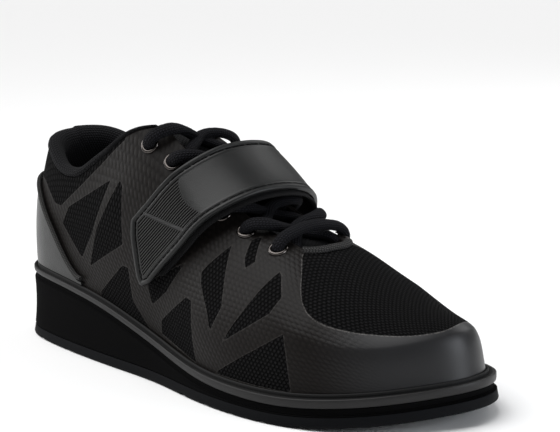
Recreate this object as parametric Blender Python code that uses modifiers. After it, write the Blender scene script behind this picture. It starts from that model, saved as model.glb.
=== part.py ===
"""A right weightlifting shoe with a raised heel, laces and a strap over the instep.

Metres, +X to the toe, +Y to the inner (medial) side, +Z up. The sole stands on z = 0.
"""
import math

import bmesh
import bpy
import numpy as np
from mathutils import Matrix, Vector

# Sole
SOLE_LENGTH = 0.290
BALL_WIDTH = 0.110
HEEL_STACK = 0.0352
FOREFOOT_STACK = 0.0088
TOE_SPRING = 0.0075
TOE_SPRING_START = 0.75
OUTSOLE_THICKNESS = 0.005
SOLE_FLARE = 0.0014
SOLE_EDGE = 0.0008
SIDE_STEP_HEIGHT = 0.0026
SIDE_STEP_DEPTH = 0.0009
GROOVE_DEPTH = 0.0012
GROOVE_WIDTH = 0.0035
WELT_HEIGHT = 0.0042
WELT_LEDGE = 0.0032
BEAD_WIDTH = 0.0012
BEAD_HEIGHT = 0.0017

# Upper
INSTEP_HEIGHT = 0.118
WALL = 0.0022
HEEL_CENTRE = 0.150
TOE_FOCUS = 0.800
THROAT_BASE = 0.7160
THROAT_AXIS = 0.0020
THROAT_CORNER = 0.0090
RIM_SOFTNESS = 0.018
INSOLE_THICKNESS = 0.0040
INSOLE_CUP = 0.0020

# Collar, tongue, heel counter
COLLAR_END = 0.385
LINING_DEPTH = 0.034
LINING_THICKNESS = 0.0056
TONGUE_TOP = 0.372
TONGUE_END = 0.765
TONGUE_THICKNESS = 0.0055
TONGUE_EDGE = 0.0022
COUNTER_THICKNESS = 0.0011
COUNTER_END = 0.262
PIPING_RADIUS = 0.0012

# Eyelets and laces
EYELET_HOLE = 0.0058
EYELET_BARREL = 0.0003
EYELET_FLANGE = 0.0096
EYELET_RIM = 0.0007
LACE_WIDTH = 0.0058
LACE_THICKNESS = 0.0040

# Strap, ring and tab
STRAP_LEAN = math.radians(43.5)
STRAP_BACK = 0.0290
STRAP_FRONT = 0.0668
STRAP_THICKNESS = 0.0022
BASE_THICKNESS = 0.0014
STRAP_RISE = 0.0063
RING_WIRE = 0.0015
RING_PLACE = 0.620
RING_DEPTH = 0.0125
RING_REACH = 0.0012
STRAP_RETURN = 0.004
TAB_RETURN = 0.011
TAB_END = 0.935
TAB_THICKNESS = 0.0022

# Clearances
GAP = 0.0003
SEAT_GAP = 0.0005
LACE_GAP = 0.0003

# Resolution
ROWS = 9
FAN_COLUMNS = 11
EYELET_SIDES = 8
LACE_SIDES = 6

SOLE_OUTLINE = (
    # along the length, across the ball width
    (0.000, 0.000), (0.018, -0.185), (0.060, -0.292), (0.140, -0.350), (0.250, -0.384), (0.360, -0.402),
    (0.470, -0.420), (0.580, -0.468), (0.670, -0.490), (0.760, -0.475), (0.840, -0.410), (0.910, -0.290),
    (0.965, -0.125), (1.000, 0.080), (0.985, 0.250), (0.940, 0.370), (0.870, 0.462), (0.790, 0.505),
    (0.720, 0.508), (0.620, 0.460), (0.520, 0.390), (0.420, 0.345), (0.320, 0.335), (0.220, 0.345),
    (0.130, 0.345), (0.060, 0.292), (0.018, 0.185),
)

WEDGE_LINE = (
    # along, share of the heel's extra height that is left
    (0.00, 1.000), (0.08, 0.966), (0.16, 0.928), (0.24, 0.852), (0.32, 0.720), (0.40, 0.508),
    (0.50, 0.242), (0.60, 0.068), (0.70, 0.000), (0.85, 0.000), (1.00, 0.000),
)

LIP_LINE = (
    # along, height of the lip as a share of its height at the toe
    (0.00, 0.67), (0.30, 0.67), (0.50, 0.80), (0.65, 0.95), (0.75, 1.00), (1.00, 1.00),
)

SECTIONS = (
    # along, ridge height, ridge across, squareness of side, squareness of top, swell, pinch of the ankle
    (0.00, 0.967, 0.0000, 2.25, 2.60, 0.012, 0.27),
    (0.15, 1.021, 0.0000, 2.25, 2.60, 0.010, 0.27),
    (0.30, 0.965, 0.0000, 2.30, 2.40, 0.006, 0.12),
    (0.41, 0.8425, 0.0060, 2.30, 2.30, 0.006, 0.02),
    (0.50, 0.7066, 0.0120, 2.25, 2.20, 0.010, 0.00),
    (0.62, 0.588, 0.0200, 2.20, 2.10, 0.010, 0.00),
    (0.72, 0.519, 0.0125, 2.12, 2.50, -0.006, 0.00),
    (0.80, 0.418, 0.0155, 2.11, 3.15, -0.015, 0.00),
    (0.90, 0.330, 0.0250, 2.20, 3.25, -0.019, 0.00),
    (1.00, 0.374, 0.0300, 2.20, 3.25, -0.019, 0.00),
)

COLLAR_RIM = (
    # along, height of the lateral rim, height of the medial rim (shares of the instep height)
    (0.000, 0.890, 0.892),
    (0.030, 0.884, 0.890),
    (0.065, 0.862, 0.873),
    (0.105, 0.816, 0.828),
    (0.145, 0.770, 0.780),
    (0.180, 0.758, 0.768),
    (0.215, 0.773, 0.776),
    (0.245, 0.817, 0.808),
    (0.280, 0.876, 0.852),
    (0.315, 0.950, 0.912),
    (0.340, 0.987, 0.942),
    (0.362, 1.004, 0.956),
    (0.450, 1.020, 0.975),
    (1.000, 1.200, 1.200),
)

THROAT_EDGE = (
    # along, half width of the throat
    (0.300, 0.0210),
    (0.380, 0.0195),
    (0.450, 0.0175),
    (0.600, 0.0150),
    (0.716, 0.0140),
)

EYELETS = (
    # along, distance below the lateral throat edge, distance below the medial throat edge
    (0.378, 0.0098, 0.0096),
    (0.430, 0.0094, 0.0092),
    (0.488, 0.0088, 0.0086),
    (0.545, 0.0082, 0.0080),
    (0.600, 0.0076, 0.0076),
    (0.673, 0.0076, 0.0076),
)

COUNTER_LINE = (
    # along, height of the counter's edge (share of the instep height)
    (0.000, 0.706),
    (0.050, 0.694),
    (0.080, 0.645),
    (0.108, 0.578),
    (0.141, 0.503),
    (0.176, 0.418),
    (0.207, 0.352),
    (0.240, 0.306),
    (0.300, 0.245),
)

TONGUE_FORM = (
    # along, half width, sag below the upper's form, extra clearance under the flaps
    (0.372, 0.0200, 0.0125, 0.0022),
    (0.400, 0.0245, 0.0100, 0.0020),
    (0.450, 0.0250, 0.0075, 0.0004),
    (0.550, 0.0240, 0.0050, 0.0004),
    (0.650, 0.0225, 0.0030, 0.0004),
    (0.765, 0.0185, 0.0006, 0.0010),
)

STRAP_TIP = (
    # share of the width from the back edge, place across the instep (-1 is the lateral sole edge)
    (0.00, -0.695), (0.20, -0.745), (0.43, -0.787), (0.65, -0.826), (0.85, -0.853), (0.93, -0.848),
    (1.00, -0.815),
)

BASE_TIP = (
    # share of the width from the back edge, place across the instep of the under layer's end
    (0.00, -0.550), (0.40, -0.660), (0.70, -0.730), (0.90, -0.770), (1.00, -0.775), (1.07, -0.750),
)

STRAP_EDGES = (
    # place across the instep, back edge and front edge (shares of the strap's width on top)
    (-1.00, 0.037, 0.900), (-0.45, 0.037, 0.900), (-0.10, 0.000, 0.940), (0.25, 0.000, 1.000),
    (1.00, 0.000, 1.000),
)

LIFT_UNDER_STRAP = (
    # place across the instep, height of the under layer's underside, extra at the back edge and in the
    # middle (shares of the rise)
    (-1.00, 0.06, 0.00, 0.00),
    (-0.66, 0.08, 0.00, 0.00),
    (-0.56, 0.30, 0.00, 0.00),
    (-0.46, 0.72, 0.03, 0.00),
    (-0.38, 1.00, 0.08, 0.00),
    (-0.12, 1.12, 0.29, 0.00),
    (0.10, 1.15, 0.29, 0.06),
    (0.36, 1.32, 0.46, 0.35),
    (1.00, 1.32, 0.46, 0.35),
)

BAND_PLACES = (
    # places across the instep that the strap and its under layer share
    -0.560, -0.515, -0.470, -0.425, -0.380, -0.300, -0.200, -0.100,
    0.000, 0.100, 0.200, 0.300, 0.380, 0.430, 0.480, 0.530,
)

COLOURS = {
    "outsole": (0.030, 0.032, 0.036),
    "midsole": (0.014, 0.014, 0.015),
    "welt": (0.060, 0.058, 0.055),
    "insole": (0.020, 0.020, 0.022),
    "upper": (0.045, 0.040, 0.036),
    "collar": (0.016, 0.016, 0.020),
    "tongue": (0.016, 0.016, 0.018),
    "counter": (0.100, 0.100, 0.102),
    "piping": (0.050, 0.050, 0.050),
    "metal": (0.180, 0.160, 0.150),
    "lace": (0.018, 0.018, 0.026),
    "strap": (0.060, 0.060, 0.058),
}


def smoothstep(values, start, end):
    u = np.clip((np.asarray(values, float) - start) / (end - start), 0.0, 1.0)
    return u * u * (3.0 - 2.0 * u)


def natural_spline(table, column, places):
    """Smooth interpolation of one column of a table over its first column."""
    rows = np.array(table, float)
    k, v = rows[:, 0], rows[:, column]
    n = len(k)
    h = np.diff(k)
    a = np.eye(n)
    b = np.zeros(n)
    for i in range(1, n - 1):
        a[i, i - 1:i + 2] = h[i - 1], 2 * (h[i - 1] + h[i]), h[i]
        b[i] = 6 * ((v[i + 1] - v[i]) / h[i] - (v[i] - v[i - 1]) / h[i - 1])
    m = np.linalg.solve(a, b)
    x = np.clip(np.asarray(places, float), k[0], k[-1])
    i = np.clip(np.searchsorted(k, x, side="right") - 1, 0, n - 2)
    left, right, g = x - k[i], k[i + 1] - x, h[i]
    curve = (m[i] * right ** 3 + m[i + 1] * left ** 3) / (6 * g)
    return curve + (v[i] / g - m[i] * g / 6) * right + (v[i + 1] / g - m[i + 1] * g / 6) * left


def plain_table(table, column, places):
    rows = np.array(table, float)
    return np.interp(places, rows[:, 0], rows[:, column])


def closed_curve(points, count):
    """A smooth closed curve through the points, sampled evenly along its length."""
    p = np.asarray(points, float)
    n = len(p)
    steps = np.linalg.norm(np.roll(p, -1, 0) - p, axis=1)
    k = np.concatenate([[0.0], np.cumsum(np.sqrt(steps))])
    h = np.diff(k)
    a = np.zeros((n, n))
    b = np.zeros((n, 2))
    for i in range(n):
        before, after = h[i - 1], h[i]
        a[i, (i - 1) % n] += before
        a[i, i] += 2 * (before + after)
        a[i, (i + 1) % n] += after
        b[i] = 6 * ((p[(i + 1) % n] - p[i]) / after - (p[i] - p[i - 1]) / before)
    m = np.linalg.solve(a, b)

    def at(t):
        t = np.mod(t, k[-1])
        i = np.clip(np.searchsorted(k, t, side="right") - 1, 0, n - 1)
        j = (i + 1) % n
        left = (t - k[i])[:, None]
        g = h[i][:, None]
        right = g - left
        curve = (m[i] * right ** 3 + m[j] * left ** 3) / (6 * g)
        return curve + (p[i] / g - m[i] * g / 6) * right + (p[j] / g - m[j] * g / 6) * left

    fine = at(np.linspace(0, k[-1], 4001))
    run = np.concatenate([[0.0], np.cumsum(np.linalg.norm(np.diff(fine, axis=0), axis=1))])
    even = np.linspace(0, run[-1], count, endpoint=False)
    return at(np.interp(even, run, np.linspace(0, k[-1], 4001)))


def grown(loop, amount):
    """A closed loop of plan points moved outward."""
    tangent = np.roll(loop, -1, 0) - np.roll(loop, 1, 0)
    tangent /= np.linalg.norm(tangent, axis=1)[:, None]
    return loop + np.stack([tangent[:, 1], -tangent[:, 0]], 1) * amount


DENSE = 1200
EDGE_LOOP = closed_curve(np.array(SOLE_OUTLINE) * [SOLE_LENGTH, BALL_WIDTH], DENSE)
FEATHER_LOOP = grown(EDGE_LOOP, -WELT_LEDGE - GAP)


def around(loop, t):
    """Points of a dense closed loop at shares t of its length."""
    t = np.mod(np.asarray(t, float), 1.0)
    knots = np.arange(DENSE + 1) / DENSE
    closed = np.vstack([loop, loop[:1]])
    return np.stack([np.interp(t, knots, closed[:, 0]), np.interp(t, knots, closed[:, 1])], -1)


TOE_SHARE = int(np.argmax(FEATHER_LOOP[:, 0])) / DENSE


def share_at(x, medial):
    """The share of the feather loop at x on one side."""
    knots = np.arange(DENSE + 1) / DENSE
    xs = np.append(FEATHER_LOOP[:, 0], FEATHER_LOOP[0, 0])
    keep = knots >= TOE_SHARE if medial else knots <= TOE_SHARE
    order = np.argsort(xs[keep])
    return np.interp(x, xs[keep][order], knots[keep][order])


def ground(x):
    """The height of the sole's underside."""
    u = np.clip((np.asarray(x, float) / SOLE_LENGTH - TOE_SPRING_START) / (1 - TOE_SPRING_START), 0, None)
    return TOE_SPRING * u ** 2


def bed(x):
    """The height of the wedge's top, where the upper starts."""
    left = natural_spline(WEDGE_LINE, 1, np.asarray(x) / SOLE_LENGTH)
    return FOREFOOT_STACK + (HEEL_STACK - FOREFOOT_STACK) * left + ground(x)


def lip(x):
    """The height of the lip round the upper over the wedge's top."""
    return WELT_HEIGHT * plain_table(LIP_LINE, 1, np.asarray(x) / SOLE_LENGTH)


def section(column, x):
    return natural_spline(SECTIONS, column, np.asarray(x) / SOLE_LENGTH)


def surface(t, v):
    """The upper's outer form: t runs round the feather edge, v from the sole (0) to the ridge (1)."""
    t, v = np.broadcast_arrays(np.asarray(t, float), np.asarray(v, float))
    foot = around(FEATHER_LOOP, t)
    x = np.clip(foot[..., 0], HEEL_CENTRE * SOLE_LENGTH, TOE_FOCUS * SOLE_LENGTH)
    ridge = np.stack([x, section(2, x) * BALL_WIDTH], -1)
    low = bed(foot[..., 0])
    bend = np.clip(v, 0, 1) * math.pi / 2
    inward = np.cos(bend) ** (2 / section(3, x))
    upward = np.sin(bend) ** (2 / section(4, x))
    reach = np.linalg.norm(foot - ridge, axis=-1)
    swell = section(5, x) * BALL_WIDTH * np.sin(np.clip(1.6 * upward, 0, 1) * math.pi)
    along = (reach * inward + swell) / reach * (1 - section(6, x) * upward ** 2)
    plan = ridge + (foot - ridge) * along[..., None]
    top = bed(plan[..., 0]) + section(1, plan[..., 0]) * INSTEP_HEIGHT
    z = low + (top - low) * upward
    return np.concatenate([plan, z[..., None]], -1)


def outward(t, v):
    """Unit outward directions of the upper's form."""
    v = np.clip(v, 0.004, 0.996)
    step_t, step_v = 0.002, 0.003
    run = surface(t + step_t, v) - surface(t - step_t, v)
    rise = surface(t, v + step_v) - surface(t, v - step_v)
    n = np.cross(run, rise)
    return n / np.linalg.norm(n, axis=-1)[..., None]


def lifted(t, v, lift):
    t, v, lift = np.broadcast_arrays(np.asarray(t, float), np.asarray(v, float), np.asarray(lift, float))
    return surface(t, v) + outward(t, v) * lift[..., None]


def throat_half(x):
    """Half the width of the throat, rounded off at its base."""
    base = THROAT_BASE * SOLE_LENGTH
    wide = plain_table(THROAT_EDGE, 1, np.asarray(x) / SOLE_LENGTH)
    u = np.clip((x - (base - THROAT_CORNER)) / THROAT_CORNER, 0, 1)
    return np.where(x > base, 0.0, wide * (1 - u ** 3.2) ** (1 / 3.2))


def rim_height(x, medial):
    return natural_spline(COLLAR_RIM, 2 if medial else 1, np.asarray(x) / SOLE_LENGTH) * INSTEP_HEIGHT


def rim_share(t, medial):
    """How far up its section each column of the upper runs."""
    v = np.linspace(0, 1, 501)
    p = surface(t, v)
    x, y, z = p[:, 0], p[:, 1], p[:, 2]
    over = z - rim_height(x, medial)
    side = np.abs(y - THROAT_AXIS)
    inside = throat_half(x) - side if x[-1] > 0.30 * SOLE_LENGTH else np.full(len(v), -1.0)
    high = float(np.interp(0, over[:], v)) if over.max() > 0 else 1.0
    wide = float(np.interp(0, inside, v)) if inside.max() > 0 else 1.0
    if x[-1] >= THROAT_BASE * SOLE_LENGTH:
        return 1.0
    k = RIM_SOFTNESS
    return -k * math.log(math.exp(-min(high, 1.2) / k) + math.exp(-wide / k)) if wide < 1 else high


def along_stations():
    """Places of the section planes between the heel and toe fans."""
    base = THROAT_BASE * SOLE_LENGTH
    heel = HEEL_CENTRE * SOLE_LENGTH
    back = np.linspace(heel, base - 0.0125, 16)
    turn = base - np.array([0.0085, 0.0050, 0.0022, 0.0006, 0.0001])
    front = np.linspace(base, TOE_FOCUS * SOLE_LENGTH, 3)
    return np.concatenate([back, turn, front])


STATIONS = along_stations()


def columns():
    """Every column of the upper as (share, is medial), from the lateral heel round the toe to the heel."""
    lateral = [(float(share_at(x, False)), False) for x in STATIONS]
    medial = [(float(share_at(x, True)), True) for x in STATIONS]
    first, last = lateral[-1][0], medial[-1][0]
    toe = [(t, t > TOE_SHARE) for t in np.linspace(first, last, FAN_COLUMNS + 2)[1:-1]]
    start, end = medial[0][0], lateral[0][0] + 1
    heel = [(t % 1.0, t < 1.0) for t in np.linspace(start, end, FAN_COLUMNS + 2)[1:-1]]
    return lateral + toe + medial[::-1] + heel


COLUMNS = columns()
RIMS = [rim_share(t, medial) for t, medial in COLUMNS]


def clear_scene():
    for item in list(bpy.data.objects):
        bpy.data.objects.remove(item, do_unlink=True)


def material(kind):
    found = bpy.data.materials.get(kind)
    if found:
        return found
    made = bpy.data.materials.new(kind)
    made.use_nodes = True
    shader = made.node_tree.nodes["Principled BSDF"]
    shader.inputs["Base Color"].default_value = (*COLOURS[kind], 1.0)
    shader.inputs["Roughness"].default_value = 0.35 if kind == "metal" else 0.7
    shader.inputs["Metallic"].default_value = 1.0 if kind == "metal" else 0.0
    return made


def add_object(name, points, faces, kind):
    """A named object in its own collection, with its normals outward."""
    mesh = bpy.data.meshes.new(name)
    mesh.from_pydata([tuple(float(c) for c in p) for p in points], [], [tuple(f) for f in faces])
    tidy = bmesh.new()
    tidy.from_mesh(mesh)
    bmesh.ops.remove_doubles(tidy, verts=tidy.verts, dist=0.00002)
    bmesh.ops.dissolve_degenerate(tidy, edges=tidy.edges, dist=0.000005)
    bmesh.ops.recalc_face_normals(tidy, faces=tidy.faces)
    tidy.to_mesh(mesh)
    tidy.free()
    mesh.materials.append(material(kind))
    made = bpy.data.objects.new(name, mesh)
    home = bpy.data.collections.get(name) or bpy.data.collections.new(name)
    if home.name not in bpy.context.scene.collection.children:
        bpy.context.scene.collection.children.link(home)
    home.objects.link(made)
    return made


def cutters():
    """The collection that holds the cutting bodies."""
    found = bpy.data.collections.get("cutters")
    if not found:
        found = bpy.data.collections.new("cutters")
        bpy.context.scene.collection.children.link(found)
    return found


def boolean(target, other, operation):
    step = target.modifiers.new(operation.lower(), "BOOLEAN")
    step.operation = operation
    step.solver = "EXACT"
    step.object = other
    bpy.context.view_layer.update()
    shaped = target.evaluated_get(bpy.context.evaluated_depsgraph_get())
    mesh = bpy.data.meshes.new_from_object(shaped)
    target.modifiers.clear()
    target.data = mesh
    for home in list(other.users_collection):
        home.objects.unlink(other)
        if home.name == other.name:
            bpy.data.collections.remove(home)
    cutters().objects.link(other)
    other.hide_render = True
    other.hide_viewport = True
    other.display_type = "WIRE"


def loft(rings, closed, caps):
    """Faces between rings of equal length, with flat caps on the first and last."""
    points = [p for ring in rings for p in ring]
    n = len(rings[0])
    faces = []
    for j in range(len(rings) - 1):
        for i in range(n if closed else n - 1):
            k = (i + 1) % n
            a, b = j * n, (j + 1) * n
            faces.append((a + i, a + k, b + k, b + i))
    if caps:
        faces.append(tuple(range(n))[::-1])
        faces.append(tuple(range((len(rings) - 1) * n, len(rings) * n)))
    return points, faces


def plate(grid_out, grid_in):
    """A closed sheet between two grids of the same size (rows, columns, 3)."""
    rows, cols = grid_out.shape[:2]
    points = list(grid_out.reshape(-1, 3)) + list(grid_in.reshape(-1, 3))
    half = rows * cols
    faces = []
    for j in range(rows - 1):
        for i in range(cols - 1):
            a, b = j * cols + i, (j + 1) * cols + i
            faces.append((a, a + 1, b + 1, b))
            faces.append((half + a, half + b, half + b + 1, half + a + 1))
    border = [i for i in range(cols)]
    border += [j * cols + cols - 1 for j in range(1, rows)]
    border += [(rows - 1) * cols + i for i in range(cols - 2, -1, -1)]
    border += [j * cols for j in range(rows - 2, 0, -1)]
    for a, b in zip(border, border[1:] + border[:1]):
        faces.append((b, a, half + a, half + b))
    return points, faces


def sweep(path, sides, half_width, half_height, up):
    """A tube with an oval section and flat ends along a path; up holds a direction for each point."""
    path = np.asarray(path, float)
    ahead = np.gradient(path, axis=0)
    ahead /= np.linalg.norm(ahead, axis=1)[:, None]
    across = np.cross(up, ahead)
    across /= np.linalg.norm(across, axis=1)[:, None]
    lift = np.cross(ahead, across)
    rings = []
    for i, p in enumerate(path):
        turn = 2 * math.pi * (np.arange(sides) + 0.5) / sides
        wide = np.cos(turn)[:, None] * across[i] * np.broadcast_to(half_width, len(path))[i]
        tall = np.sin(turn)[:, None] * lift[i] * np.broadcast_to(half_height, len(path))[i]
        rings.append(list(p + wide + tall))
    return loft(rings, True, True)


def plan_ring(loop, shares, heights):
    p = around(loop, shares)
    return np.column_stack([p, heights(p[:, 0])])


SOLE_SHARES = np.array([t for t, _ in COLUMNS])


def cap_strips(base, upward):
    """Faces across a ring of columns, from side to side, that follow its rise and fall."""
    n = len(COLUMNS)
    count = len(STATIONS)
    front = count + FAN_COLUMNS // 2
    faces = []
    for i in range(n // 2 - 1):
        a, b = (front - i) % n, (front - i - 1) % n
        c, d = (front + i + 1) % n, (front + i) % n
        face = [a, b, c, d] if i else [a, b, c]
        faces.append(face)
    a, b = (front - n // 2 + 1) % n, (front + n // 2 - 1) % n
    faces.append([a, (front + n // 2) % n, b])
    return [tuple(base + k for k in (f[::-1] if upward else f)) for f in faces]


def body_of_rings(name, rings, kind):
    """A solid from stacked plan rings that follow the columns; its top and bottom are strips across."""
    n = len(rings[0])
    points, faces = loft(rings, True, False)
    faces += cap_strips(0, False)
    faces += cap_strips((len(rings) - 1) * n, True)
    return add_object(name, points, faces, kind)


def build_outsole():
    flare = grown(EDGE_LOOP, SOLE_FLARE)
    rings = [
        plan_ring(grown(EDGE_LOOP, SOLE_FLARE - SOLE_EDGE), SOLE_SHARES, ground),
        plan_ring(flare, SOLE_SHARES, lambda x: ground(x) + SOLE_EDGE),
        plan_ring(grown(EDGE_LOOP, SOLE_FLARE * 0.5), SOLE_SHARES, lambda x: ground(x) + OUTSOLE_THICKNESS),
    ]
    made = body_of_rings("outsole", [list(r) for r in rings], "outsole")
    for place in (0.100, 0.200, 0.560, 0.625, 0.690, 0.755, 0.820):
        boolean(made, groove(place), "DIFFERENCE")
    return made


def groove(place):
    """A cutting bar for one flex groove across the outsole."""
    x = place * SOLE_LENGTH
    half = np.array([GROOVE_WIDTH / 2, BALL_WIDTH, GROOVE_DEPTH])
    centre = np.array([x, 0.0, float(ground(x))])
    corners = [centre + half * np.array([a, b, c]) for c in (-1, 1) for a, b in ((-1, -1), (1, -1), (1, 1), (-1, 1))]
    faces = [(3, 2, 1, 0), (4, 5, 6, 7), (0, 1, 5, 4), (1, 2, 6, 5), (2, 3, 7, 6), (3, 0, 4, 7)]
    return add_object("groove_cutter", corners, faces, "outsole")


def build_midsole():
    side = grown(EDGE_LOOP, SOLE_FLARE * 0.5)
    inset = grown(EDGE_LOOP, -SIDE_STEP_DEPTH)
    floor_top = lambda x: ground(x) + OUTSOLE_THICKNESS + GAP
    top = lambda x: bed(x) - GAP
    step = lambda x: np.maximum(bed(x) - GAP - SIDE_STEP_HEIGHT, floor_top(x) + 0.0007)
    rings = [
        plan_ring(side, SOLE_SHARES, floor_top),
        plan_ring(EDGE_LOOP, SOLE_SHARES, step),
        plan_ring(inset, SOLE_SHARES, lambda x: step(x) + 0.0004),
        plan_ring(inset, SOLE_SHARES, top),
    ]
    return body_of_rings("midsole", [list(r) for r in rings], "midsole")


def build_welt():
    """The lip round the upper: a ledge outside and a raised bead against the upper."""
    n = len(SOLE_SHARES)
    t = SOLE_SHARES
    base = surface(t, np.zeros(n))
    rise = lip(base[:, 0])

    def inner(heights):
        v = np.array([share_of_height(a, b + c) for a, b, c in zip(t, base[:, 2], heights)])
        return lifted(t, v, GAP)

    def outer(grow, heights):
        p = around(grown(EDGE_LOOP, grow), t)
        return np.column_stack([p, bed(p[:, 0]) + heights])

    low, high = inner(np.full(n, 0.0002)), inner(rise + BEAD_HEIGHT)
    spread = outward(t, np.full(n, 0.02))
    spread[:, 2] = 0
    spread /= np.linalg.norm(spread, axis=1)[:, None]
    bead = high + spread * BEAD_WIDTH
    foot = bead.copy()
    foot[:, 2] -= BEAD_HEIGHT
    rings = [
        low - [0, 0, 0.0002], outer(0, 0.0), outer(0.0002, rise - 0.0006),
        outer(-0.0005, rise), foot, bead, high,
    ]
    rows = [list(r) for r in rings]
    points, faces = loft(rows + [rows[0]], True, False)
    return add_object("welt", points, faces, "welt")


def share_of_height(t, height):
    """The share v at which a column of the upper reaches a height."""
    v = np.linspace(0, 1, 401)
    z = surface(t, v)[:, 2]
    return float(np.interp(height, z, v))


def build_insole():
    margin = WALL + 3 * GAP
    low = lambda x: bed(x) + GAP
    thick = lambda x: low(x) + INSOLE_THICKNESS
    cup = lambda x: thick(x) + INSOLE_CUP
    foot = surface(SOLE_SHARES, np.zeros(len(SOLE_SHARES)))
    v = np.array([share_of_height(t, h) for t, h in zip(SOLE_SHARES, cup(foot[:, 0]) + GAP)])
    lean = np.linalg.norm(foot[:, :2] - surface(SOLE_SHARES, v)[:, :2], axis=1)

    def ring(inset, heights):
        p = around(FEATHER_LOOP, SOLE_SHARES)
        way = around(grown(FEATHER_LOOP, -0.001), SOLE_SHARES) - p
        p = p + way / 0.001 * (inset + lean)[:, None]
        return np.column_stack([p, heights(p[:, 0])])

    rings = [
        ring(margin + 0.0005, low), ring(margin, cup), ring(margin + 0.0015, cup), ring(margin + 0.006, thick),
    ]
    return body_of_rings("insole", [list(r) for r in rings], "insole")


def build_upper():
    """The hollow upper: a sheet on the outer form, thickened inward, with the eyelet holes cut."""
    rise = (np.arange(ROWS + 1) / ROWS) ** 0.92
    points, faces, index = [], [], {}
    count, toe = len(STATIONS), FAN_COLUMNS
    n = len(COLUMNS)
    for i, ((t, medial), rim) in enumerate(zip(COLUMNS, RIMS)):
        spots = surface(t, rise * rim)
        for j in range(ROWS + 1):
            closed_top = rim >= 1.0 and j == ROWS
            if closed_top and i >= count:
                twin = n - toe - 1 - i
                partner = count - 1 if i < count + toe else twin
                index[i, j] = index[partner, j]
                continue
            index[i, j] = len(points)
            points.append(spots[j])
    for i in range(n):
        k = (i + 1) % n
        for j in range(ROWS):
            face = [index[i, j], index[k, j], index[k, j + 1], index[i, j + 1]]
            face = [a for m, a in enumerate(face) if a != face[m - 1]]
            if len(set(face)) >= 3:
                faces.append(face)
    made = add_object("upper", points, faces, "upper")
    wall = made.modifiers.new("wall", "SOLIDIFY")
    wall.thickness = WALL
    wall.offset = -1.0
    wall.use_even_offset = True
    wall.use_quality_normals = True
    bpy.context.view_layer.update()
    shaped = made.evaluated_get(bpy.context.evaluated_depsgraph_get())
    mesh = bpy.data.meshes.new_from_object(shaped)
    made.modifiers.clear()
    made.data = mesh
    for corner in mesh.vertices:
        corner.co.z = max(corner.co.z, float(bed(corner.co.x)))
    for x, medial in eyelet_places():
        boolean(made, eyelet_cutter(x, medial), "DIFFERENCE")
    return made


def eyelet_places():
    return [(row, medial) for medial in (False, True) for row in range(len(EYELETS))]


def share_below_rim(x, distance, medial):
    """Shares (t, v) of the point at x that lies a distance below the throat's edge."""
    t = float(share_at(x, medial))
    rim = rim_share(t, medial)
    v = np.linspace(0, rim, 400)
    run = np.concatenate([[0], np.cumsum(np.linalg.norm(np.diff(surface(t, v), axis=0), axis=1))])
    return t, float(np.interp(run[-1] - distance, run, v))


def eyelet_frame(row, medial):
    """The centre on the upper's face, and its outward, forward and side directions."""
    along, lateral_drop, medial_drop = EYELETS[row]
    t, v = share_below_rim(along * SOLE_LENGTH, medial_drop if medial else lateral_drop, medial)
    centre = surface(t, v)
    n = outward(t, v)
    ahead = np.array([1.0, 0.0, 0.0])
    ahead -= n * ahead.dot(n)
    ahead /= np.linalg.norm(ahead)
    return centre, n, ahead, np.cross(n, ahead)


def spun(frame, profile):
    """A ring of revolution about an eyelet's axis; the profile holds (radius, height)."""
    centre, n, ahead, side = frame
    rings = []
    for radius, height in profile:
        turn = 2 * math.pi * np.arange(EYELET_SIDES) / EYELET_SIDES
        rings.append([centre + n * height + radius * (math.cos(a) * ahead + math.sin(a) * side) for a in turn])
    return rings


def eyelet_cutter(row, medial):
    radius = EYELET_HOLE / 2 + EYELET_BARREL + GAP
    rings = spun(eyelet_frame(row, medial), ((radius, -2.5 * WALL), (radius, 2 * WALL)))
    points, faces = loft(rings, True, True)
    return add_object("eyelet_cutter", points, faces, "metal")


def build_eyelet(row, medial):
    """A flanged ring whose barrel lines the hole."""
    hole = EYELET_HOLE / 2
    profile = (
        (hole, -WALL - 0.0002), (hole, EYELET_RIM + GAP), (EYELET_FLANGE / 2 - 0.0005, EYELET_RIM + GAP),
        (EYELET_FLANGE / 2, GAP), (hole + EYELET_BARREL, GAP), (hole + EYELET_BARREL, -WALL - 0.0002),
    )
    rings = spun(eyelet_frame(row, medial), profile)
    points, faces = loft(rings + [rings[0]], True, False)
    name = ("eyelet_medial_" if medial else "eyelet_lateral_") + str(row + 1)
    return add_object(name, points, faces, "metal")


def collar_columns():
    """Column numbers of the padded collar from the lateral front round the heel to the medial front."""
    front = max(i for i, x in enumerate(STATIONS) if x < COLLAR_END * SOLE_LENGTH)
    n = len(COLUMNS)
    lateral = list(range(front, -1, -1))
    heel = list(range(n - 1, n - 1 - FAN_COLUMNS, -1))
    medial = list(range(n - FAN_COLUMNS - 1, n - FAN_COLUMNS - 2 - front, -1))
    return lateral + heel + medial


def collar_section(slim, end):
    """Points (out from the upper's face, up from its rim); slim thins it under the flaps."""
    face = -WALL - SEAT_GAP
    deep = LINING_DEPTH * (1 - 0.90 * slim)
    pad = LINING_THICKNESS * (1 - 0.82 * slim)
    crown = (1 - 0.45 * slim) * end
    tall = (1 - 0.40 * slim) * end
    return (
        (face, -deep), (face, SEAT_GAP), (0.0002, SEAT_GAP), (0.0010, 0.0020 * tall), (0.0004, 0.0042 * tall),
        (-0.0026, 0.0056 * tall), (-0.0058 * crown, 0.0046 * tall), (-0.0084 * crown, 0.0014 * tall),
        (face - pad, -0.26 * deep), (face - pad * 0.8, -0.75 * deep), (face - pad * 0.3, -deep),
    )


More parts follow.
